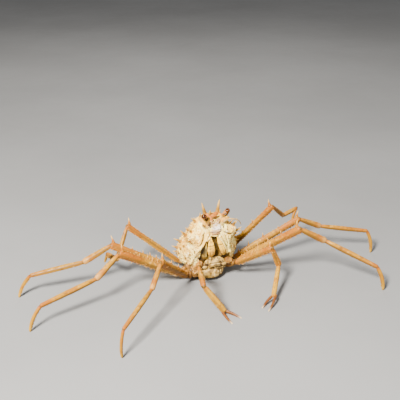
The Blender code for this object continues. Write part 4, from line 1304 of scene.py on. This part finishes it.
def make_abdomen(materials):
    """The folded tail: a low dome of overlapping segments, flat where it rests on the floor."""
    shape = Shape()
    rows = []
    for step in range(61):
        angle = math.pi * min(max(step / 60, 0.01), 0.99)
        row = []
        out = math.sin(angle)
        for turn in around(88):
            way = Vector((out * math.cos(turn), out * math.sin(turn), math.cos(angle)))
            parts = zip(way, ABDOMEN_HALF_SIZES, ABDOMEN_CENTRE)
            place = Vector([bent(part, 0.85) * half + middle for part, half, middle in parts])
            fold = max(bump(place.y, spot + 6.0 * (place.x + 0.002) ** 2, 0.0011) for spot in ABDOMEN_FOLDS)
            fold = max(fold, bump(abs(place.x + 0.002), 0.0125, 0.0012) * 0.8)
            place -= Vector((way.x, way.y, way.z * 0.5)) * (fold * 0.0016)
            streak = noise.noise(Vector((place.x * 150.0, place.y * 150.0, place.z * 45.0)))
            place += way * (0.0005 * streak + 0.0005 * noise.noise(place * 230.0))
            blotch = 0.75 * ease(0.05, 0.30, -streak)
            # darker in the folds between the segments and in blotches
            row.append((place, (0.0, 0.0, 0.18 + 0.75 * fold + blotch)))
        rows.append(row)
    shape.rows(rows)
    shape.make("abdomen_shell", materials["base"], ["abdomen"], "underside")


def make_maxilliped(side, materials):
    """A mouth leg: long flat segments end to end, and a hairy inner margin."""
    shape = Shape()
    stations = MAXILLIPEDS[side]
    sign = 1.0 if side == "left" else -1.0
    rows = []
    for step in range(65):
        forward = stations[0][0] + (stations[-1][0] - stations[0][0]) * step / 64
        middle, wide, thick = even_values(stations, forward)
        end = min(ease(-0.010, 0.070, 0.400 - forward), ease(-0.010, 0.075, forward - 0.105)) * 0.62 + 0.38
        end *= 1.0 + 0.10 * bump(forward, 0.25, 0.06)
        joint = max(bump(forward, 0.318, 0.006), bump(forward, 0.168, 0.005))
        top = -station_at(forward)[2] - 0.003
        row = []
        for angle in around(36):
            left = middle + wide * end * math.cos(angle)
            level = math.sin(angle)
            up = top - thick * end * (0.5 - 0.5 * bent(level, 0.7))
            along = bump(left, middle + wide * 0.30 * sign, wide * 0.22)
            up += (joint * 0.008 + 0.006 * along) * max(-level, 0.0)
            up += 0.003 * noise.noise(Vector((forward, left, up)) * 40.0)
            mark = (0.0, 0.08 + 0.35 * joint, 0.02 + 0.30 * joint + 0.16 * along)
            row.append((body_point(forward, left, up), mark))
        rows.append(row)
    shape.rows(rows)
    down = body_direction(0.0, 0.0, -1.0)
    inner = body_direction(0.0, -sign, 0.0)
    for index in range(MOUTH_HAIRS):
        forward = random.uniform(0.12, 0.39)
        middle, wide, _ = even_values(stations, forward)
        level = -station_at(forward)[2] - random.uniform(0.010, 0.026)
        foot = body_point(forward, middle - sign * wide * 0.92, level)
        way = inner * 0.8 + down * random.uniform(-0.3, 0.7) + body_direction(random.uniform(-0.6, 0.6), 0, 0)
        tip = foot + way.normalized() * random.uniform(0.0010, 0.0022)
        add_spine(shape, foot, tip, 0.00013, sides=4, rings=3, stain=0.6)
    shape.make(side + "_maxilliped_shell", materials["jaw"], [side + "_maxilliped"], "limb")


def make_eye(side, materials):
    """An eyestalk with a narrow neck, and the glossy eye at its end."""
    base, tip, half = EYES[side]
    base = body_point(*base)
    tip = body_point(*tip)
    axis = (tip - base).normalized()
    neck = tip - axis * (half * 0.70)
    steps = [step / 24 for step in range(25)]
    path = [base + (neck - base) * share for share in steps]
    radii = [0.0021 * read_profile(STALK_PROFILE, share) for share in steps]
    # the stalk darkens towards its base, painted as the shade of the hollow it rises from, and in a band
    # under the eye
    marks = [(0.0, 0.6 * (1 - share) + 0.5 * ease(0.85, 1.0, share), 0.0) for share in steps]
    stalk = Shape()
    add_tube(stalk, path, radii, marks, sides=24)
    stalk.make(side + "_eyestalk_shell", materials["stalk"], [side + "_eyestalk"], "stalk")
    eye = Shape()
    sideways, up = across(axis)
    add_ball(eye, tip, (sideways * half, up * half, axis * (half * 0.88)), (0.0, 0.0, 0.0), 48, 34)
    eye.make(side + "_cornea_shell", materials["eye"], [side + "_cornea"], "eye")


def make_feeler(name, materials):
    """A feeler of many short rings through its places."""
    places, thickness, slot = FEELERS[name]
    rings = 26 if slot == "limb" else 10
    points = body_line(places, rings * 4 + 1)
    radii = []
    marks = []
    last = len(points) - 1
    for step in range(last + 1):
        share = step / last
        ring = step % 4 == 0
        radii.append(thickness * (1.0 - 0.62 * share) * (0.86 if ring else 1.0))
        marks.append((0.50 + 0.5 * share, 0.4 * max(1.0 - share * 4.0, 0.0), 0.20 if ring else 0.0))
    shape = Shape()
    add_tube(shape, points, radii, marks)
    if name == "left_antenna":
        knee = points[int(last * 0.62)]
        add_spine(shape, knee, knee + body_direction(0.0, 0.9, 1.2).normalized() * 0.0030, 0.0005)
    shape.make(name + "_shell", materials["feeler"], [name], slot)


class Paint:
    """A material's node tree, and the colour that its layers have given so far."""

    def __init__(self, name):
        self.material = bpy.data.materials.new(name)
        self.material.use_nodes = True
        self.tree = self.material.node_tree
        self.shader = self.tree.nodes["Principled BSDF"]
        self.place = self.tree.nodes.new("ShaderNodeTexCoord").outputs["Object"]
        self.colour = None

    def link(self, source, target):
        if isinstance(source, bpy.types.NodeSocket):
            self.tree.links.new(source, target)
        elif isinstance(source, tuple):
            target.default_value = (*source, 1.0)
        else:
            target.default_value = source

    def node(self, kind, inputs, **settings):
        """A new node with its settings, and what goes into its inputs."""
        node = self.tree.nodes.new("ShaderNode" + kind)
        for word, value in settings.items():
            setattr(node, word, value)
        for key, source in inputs.items():
            self.link(source, node.inputs[key])
        return node.outputs

    def noise(self, scale, detail=4.0):
        inputs = {"Vector": self.place, "Scale": scale, "Detail": detail, "Roughness": 0.55}
        return self.node("TexNoise", inputs)["Fac"]

    def cells(self, scale):
        return self.node("TexVoronoi", {"Vector": self.place, "Scale": scale})["Distance"]

    def range(self, value, low, high, into=0.0, out=1.0):
        inputs = {"Value": value, "From Min": low, "From Max": high, "To Min": into, "To Max": out}
        return self.node("MapRange", inputs, interpolation_type="SMOOTHSTEP")["Result"]

    def product(self, one, other):
        return self.node("Math", {0: one, 1: other}, operation="MULTIPLY")["Value"]

    def mix(self, share, one, other):
        return self.node("Mix", {"Factor": share, 6: one, 7: other}, data_type="RGBA")[2]

    def mottle(self, noise, low, high, one, other):
        """Two colours in patches: noise gives the size of the patches and their detail."""
        return self.mix(self.range(self.noise(*noise), low, high), one, other)

    def layers(self, *layers):
        """Lays colours over each other.

        Each has a mask, the mask's values where it starts and where it is full, its strength there
        and its colour. A mask is the scale and detail of a noise, a mark's name or another node's value.
        """
        for mask, low, high, strength, colour in layers:
            if isinstance(mask, str):
                mask = self.node("Attribute", {}, attribute_name=mask)["Fac"]
            elif isinstance(mask, tuple):
                mask = self.noise(*mask)
            self.colour = self.mix(self.range(mask, low, high, 0.0, strength), self.colour, colour)

    def specks(self, scale, low, high, strength, patches, edge):
        """Small dark specks, in patches."""
        dots = self.range(self.cells(scale), low, high, strength, 0.0)
        dots = self.product(dots, self.range(self.noise(patches), edge, 0.6))
        self.colour = self.mix(dots, self.colour, BROWN)

    def finish(self, rough, height, strength, depth, pits=None, shine=0.16):
        """Sets the roughness, from a noise's scale and two values, and the fine relief and pits."""
        scale, low, high = rough
        normal = self.node("Bump", {"Height": height, "Strength": strength, "Distance": depth})["Normal"]
        if pits:
            height = self.range(self.cells(pits[0]), 0.0, 0.5, 1.0, 0.0)
            inputs = {"Height": height, "Strength": pits[1], "Distance": depth, "Normal": normal}
            normal = self.node("Bump", inputs)["Normal"]
        self.link(shine, self.shader.inputs["Specular IOR Level"])
        self.link(self.colour, self.shader.inputs["Base Color"])
        self.link(self.range(self.noise(scale), 0.3, 0.7, low, high), self.shader.inputs["Roughness"])
        self.link(normal, self.shader.inputs["Normal"])
        return self.material


def shell_material():
    """Ivory and yellow with peach patches, orange round the spines, dark specks painted as the shadows of
    spines seen end on, and brown, mostly shade painted in the folds and hollows.
    """
    paint = Paint("shell")
    paint.colour = IVORY
    paint.layers(
        ((28.0, 3.0), 0.42, 0.64, 0.6, YELLOW),
        ((55.0, 4.0), 0.55, 0.68, 0.65, PEACH),
        ((95.0, 5.0), 0.58, 0.70, 0.5, PINK),
        ((270.0, 4.0), 0.53, 0.64, 0.45, (0.58, 0.27, 0.030)),
        ((230.0, 4.0), 0.55, 0.66, 0.6, (0.98, 0.88, 0.55)),
        ("joint", 0.05, 0.45, 0.85, (0.76, 0.36, 0.020)),
        ("joint", 0.40, 0.80, 0.85, ORANGE),
    )
    # dark specks, painted as the shadows of spines seen end on
    paint.specks(420.0, 0.10, 0.22, 0.6, 70.0, 0.5)
    paint.layers(
        ("tip", 0.02, 0.16, 0.9, AMBER),
        ("tip", 0.25, 0.60, 1.0, TAN),
        ("tip", 0.42, 0.85, 1.0, (0.72, 0.42, 0.10)),
        ("stain", 0.0, 0.9, 0.98, paint.mottle((75.0, 4.0), 0.40, 0.60, (0.20, 0.100, 0.010), BROWN)),
    )
    return paint.finish((160.0, 0.38, 0.62), paint.noise(900.0, 4.0), 0.35, 0.0003, (700.0, 0.5))


def mouth_material():
    """Pale lumps ahead of the mouth: greyish white, cream and tan."""
    paint = Paint("mouth")
    paint.colour = (0.42, 0.25, 0.09)
    paint.layers(
        ((120.0, 4.0), 0.40, 0.62, 1.0, (0.32, 0.15, 0.05)),
        ("tip", 0.35, 0.95, 1.0,
         paint.mottle((260.0, 4.0), 0.40, 0.62, (0.74, 0.63, 0.50), (0.46, 0.34, 0.22))),
        ("joint", 0.1, 1.0, 0.6, (0.34, 0.12, 0.03)),
        ("stain", 0.0, 1.0, 0.9, GOLD),
    )
    return paint.finish((300.0, 0.34, 0.60), paint.noise(1000.0, 5.0), 0.5, 0.0003)


def limb_material(name, main, second, under, strength):
    """The limbs' segments, browner below, partly as painted shade, and orange at the joints."""
    paint = Paint(name)
    paint.colour = main
    paint.layers(
        ((40.0, 3.0), 0.40, 0.62, 1.0, second),
        ((120.0, 5.0), 0.52, 0.70, 0.5, (0.46, 0.19, 0.006)),
        ((220.0, 5.0), 0.53, 0.70, 0.5, PALE),
        ((170.0, 5.0), 0.54, 0.64, 0.5, (0.10, 0.028, 0.003)),
        ("joint", 0.15, 1.0, strength, (0.36, 0.095, 0.004)),
    )
    paint.specks(600.0, 0.08, 0.20, 0.5, 90.0, 0.50)
    paint.layers(
        ("tip", 0.02, 0.25, 0.45, ORANGE),
        ("tip", 0.30, 0.90, 1.0, PALE),
        ("stain", 0.0, 0.5, 1.0, under),
        ("stain", 0.5, 1.0, 0.9, BROWN),
    )
    return paint.finish((200.0, 0.32, 0.54), paint.noise(1100.0, 4.0), 0.30, 0.0002, (900.0, 0.4))


def toe_material():
    """The last segments, which turn to yellow horn at their ends."""
    paint = Paint("toe")
    paint.colour = TAN
    paint.layers(
        ((60.0, 3.0), 0.40, 0.62, 1.0, AMBER),
        ("joint", 0.15, 1.0, 0.8, ORANGE),
        ("tip", 0.30, 0.90, 0.8, (0.46, 0.25, 0.020)),
        ("stain", 0.3, 1.0, 0.9, BROWN),
    )
    return paint.finish((200.0, 0.28, 0.50), paint.noise(1300.0, 3.0), 0.25, 0.0002)


def claw_material():
    """The hands and fingers: golden, the fingers brown with pale ends."""
    paint = Paint("claw")
    paint.colour = (0.50, 0.25, 0.014)
    paint.layers(
        ((50.0, 3.0), 0.42, 0.62, 1.0, (0.42, 0.170, 0.008)),
        ((130.0, 5.0), 0.52, 0.70, 0.6, (0.66, 0.38, 0.08)),
        ((240.0, 5.0), 0.55, 0.66, 0.5, (0.18, 0.060, 0.008)),
        ("joint", 0.15, 1.0, 0.6, ORANGE),
        ("tip", 0.05, 0.40, 0.92,
         paint.mottle((500.0, 3.0), 0.40, 0.60, (0.15, 0.045, 0.012), (0.075, 0.020, 0.008))),
        ("tip", 0.76, 1.0, 1.0, (0.48, 0.36, 0.22)),
        ("stain", 0.0, 1.0, 0.9, BROWN),
    )
    return paint.finish((200.0, 0.28, 0.48), paint.noise(1200.0, 4.0), 0.3, 0.0002)


def base_material(name, main, second, dark):
    """The limb bases, breastplate and tail: tan, with brown where the stain-and-shade mark is high."""
    paint = Paint(name)
    paint.colour = main
    stain = paint.node("Attribute", {}, attribute_name="stain")["Fac"]
    patches = paint.range(paint.noise(110.0, 5.0), 0.35, 0.65, 0.25, 1.2)
    paint.layers(
        ((45.0, 4.0), 0.40, 0.62, 1.0, second),
        ((220.0, 5.0), 0.46, 0.56, 0.75, dark),
        ((380.0, 4.0), 0.56, 0.66, 0.6, (0.66, 0.48, 0.24)),
        ("joint", 0.15, 1.0, 0.45, AMBER),
        (paint.product(stain, patches), 0.1, 1.0, 0.9, BROWN),
        ("tip", 0.30, 0.90, 0.7, PALE),
    )
    return paint.finish((150.0, 0.44, 0.68), paint.noise(900.0, 5.0), 0.5, 0.0003)


def stalk_material():
    """The eyestalks, brownish orange, darker at their base as painted shade, and just under the eye."""
    paint = Paint("stalk")
    paint.colour = (0.34, 0.13, 0.03)
    paint.layers(
        ((300.0, 3.0), 0.35, 0.65, 1.0, (0.44, 0.21, 0.07)),
        ("joint", 0.1, 0.8, 0.8, (0.22, 0.050, 0.008)),
    )
    return paint.finish((250.0, 0.30, 0.48), paint.noise(1500.0, 3.0), 0.2, 0.0001)


def feeler_material():
    """The feelers, pale with darker rings."""
    paint = Paint("feeler")
    paint.colour = (0.45, 0.30, 0.12)
    paint.layers(
        ((250.0, 3.0), 0.35, 0.65, 1.0, (0.36, 0.20, 0.06)),
        ("joint", 0.1, 0.8, 0.8, AMBER),
        ("stain", 0.0, 0.5, 0.5, OLIVE),
    )
    return paint.finish((250.0, 0.30, 0.48), paint.noise(1500.0, 3.0), 0.2, 0.0001)


def eye_material():
    """The eyes, dark brown and glossy."""
    paint = Paint("eye")
    paint.colour = (0.032, 0.009, 0.002)
    paint.layers(((260.0, 2.0), 0.35, 0.65, 1.0, (0.105, 0.030, 0.004)))
    paint.shader.inputs["Coat Weight"].default_value = 0.12
    paint.shader.inputs["Coat Roughness"].default_value = 0.04
    return paint.finish((400.0, 0.03, 0.06), paint.cells(4200.0), 0.03, 0.00003, shine=0.3)


def floor_material():
    """A plain grey floor."""
    paint = Paint("floor")
    paint.colour = (0.205, 0.202, 0.196)
    paint.layers(((2.2, 4.0), 0.3, 0.7, 1.0, (0.23, 0.227, 0.221)))
    return paint.finish((30.0, 0.78, 0.9), paint.noise(500.0, 3.0), 0.05, 0.0002)


def make_camera():
    """The photograph's camera."""
    lens = bpy.data.cameras.new("camera")
    lens.lens = CAMERA_LENS
    lens.sensor_width = 36.0
    lens.sensor_fit = "HORIZONTAL"
    lens.clip_start = 0.01
    lens.clip_end = 20.0
    camera = bpy.data.objects.new("camera", lens)
    camera.location = CAMERA_PLACE
    camera.rotation_euler = (math.pi / 2 - CAMERA_PITCH, 0.0, -CAMERA_HEADING)
    bpy.context.scene.collection.objects.link(camera)
    bpy.context.scene.camera = camera


def make_light(name, place, size, power, colour):
    """A lamp that shines at the crab."""
    lamp = bpy.data.lights.new(name, "AREA")
    lamp.size = size
    lamp.energy = power
    lamp.color = colour
    light = bpy.data.objects.new(name, lamp)
    light.location = place
    light.rotation_euler = (LIGHT_TARGET - Vector(place)).to_track_quat("-Z", "Y").to_euler()
    bpy.context.scene.collection.objects.link(light)


def make_floor():
    """The floor, which is stage and not part of the model."""
    mesh = bpy.data.meshes.new("floor")
    corners = [(x * FLOOR_HALF, y * FLOOR_HALF, 0.0) for x, y in ((-1, -1), (1, -1), (1, 1), (-1, 1))]
    mesh.from_pydata(corners, [], [(0, 1, 2, 3)])
    floor = bpy.data.objects.new("floor", mesh)
    bpy.context.scene.collection.objects.link(floor)
    mesh.materials.append(floor_material())


def make_world():
    """The even light of the room."""
    world = bpy.data.worlds.new("world")
    world.use_nodes = True
    sky = world.node_tree.nodes["Background"]
    sky.inputs["Color"].default_value = SKY_COLOUR
    sky.inputs["Strength"].default_value = SKY_STRENGTH
    bpy.context.scene.world = world


def make_crab():
    """Every piece of the crab."""
    materials = {
        "shell": shell_material(),
        "mouth": mouth_material(),
        "limb": limb_material("limb", TAN, AMBER, OLIVE, 0.65),
        "jaw": limb_material("jaw", (0.95, 0.55, 0.05), (0.80, 0.38, 0.03), GOLD, 0.4),
        "toe": toe_material(),
        "claw": claw_material(),
        "base": base_material("base", (0.42, 0.24, 0.040), (0.54, 0.35, 0.10), (0.11, 0.050, 0.008)),
        "coxa": base_material("coxa", (0.34, 0.15, 0.025), (0.24, 0.115, 0.020), (0.055, 0.020, 0.004)),
        "stalk": stalk_material(),
        "feeler": feeler_material(),
        "eye": eye_material(),
    }
    for build in (make_carapace, make_mouth, make_sternum, make_abdomen):
        build(materials)
    for side in ("left", "right"):
        for build in (make_maxilliped, make_eye, make_claw):
            build(side, materials)
        for pair in (2, 3, 4, 5):
            if (side, pair) in LIMB_POSES:
                make_leg(side, pair, materials)
    for name in FEELERS:
        make_feeler(name, materials)
    make_stump(materials)


random.seed(23)
make_crab()
make_camera()
make_floor()
for light_settings in LIGHTS:
    make_light(*light_settings)
make_world()
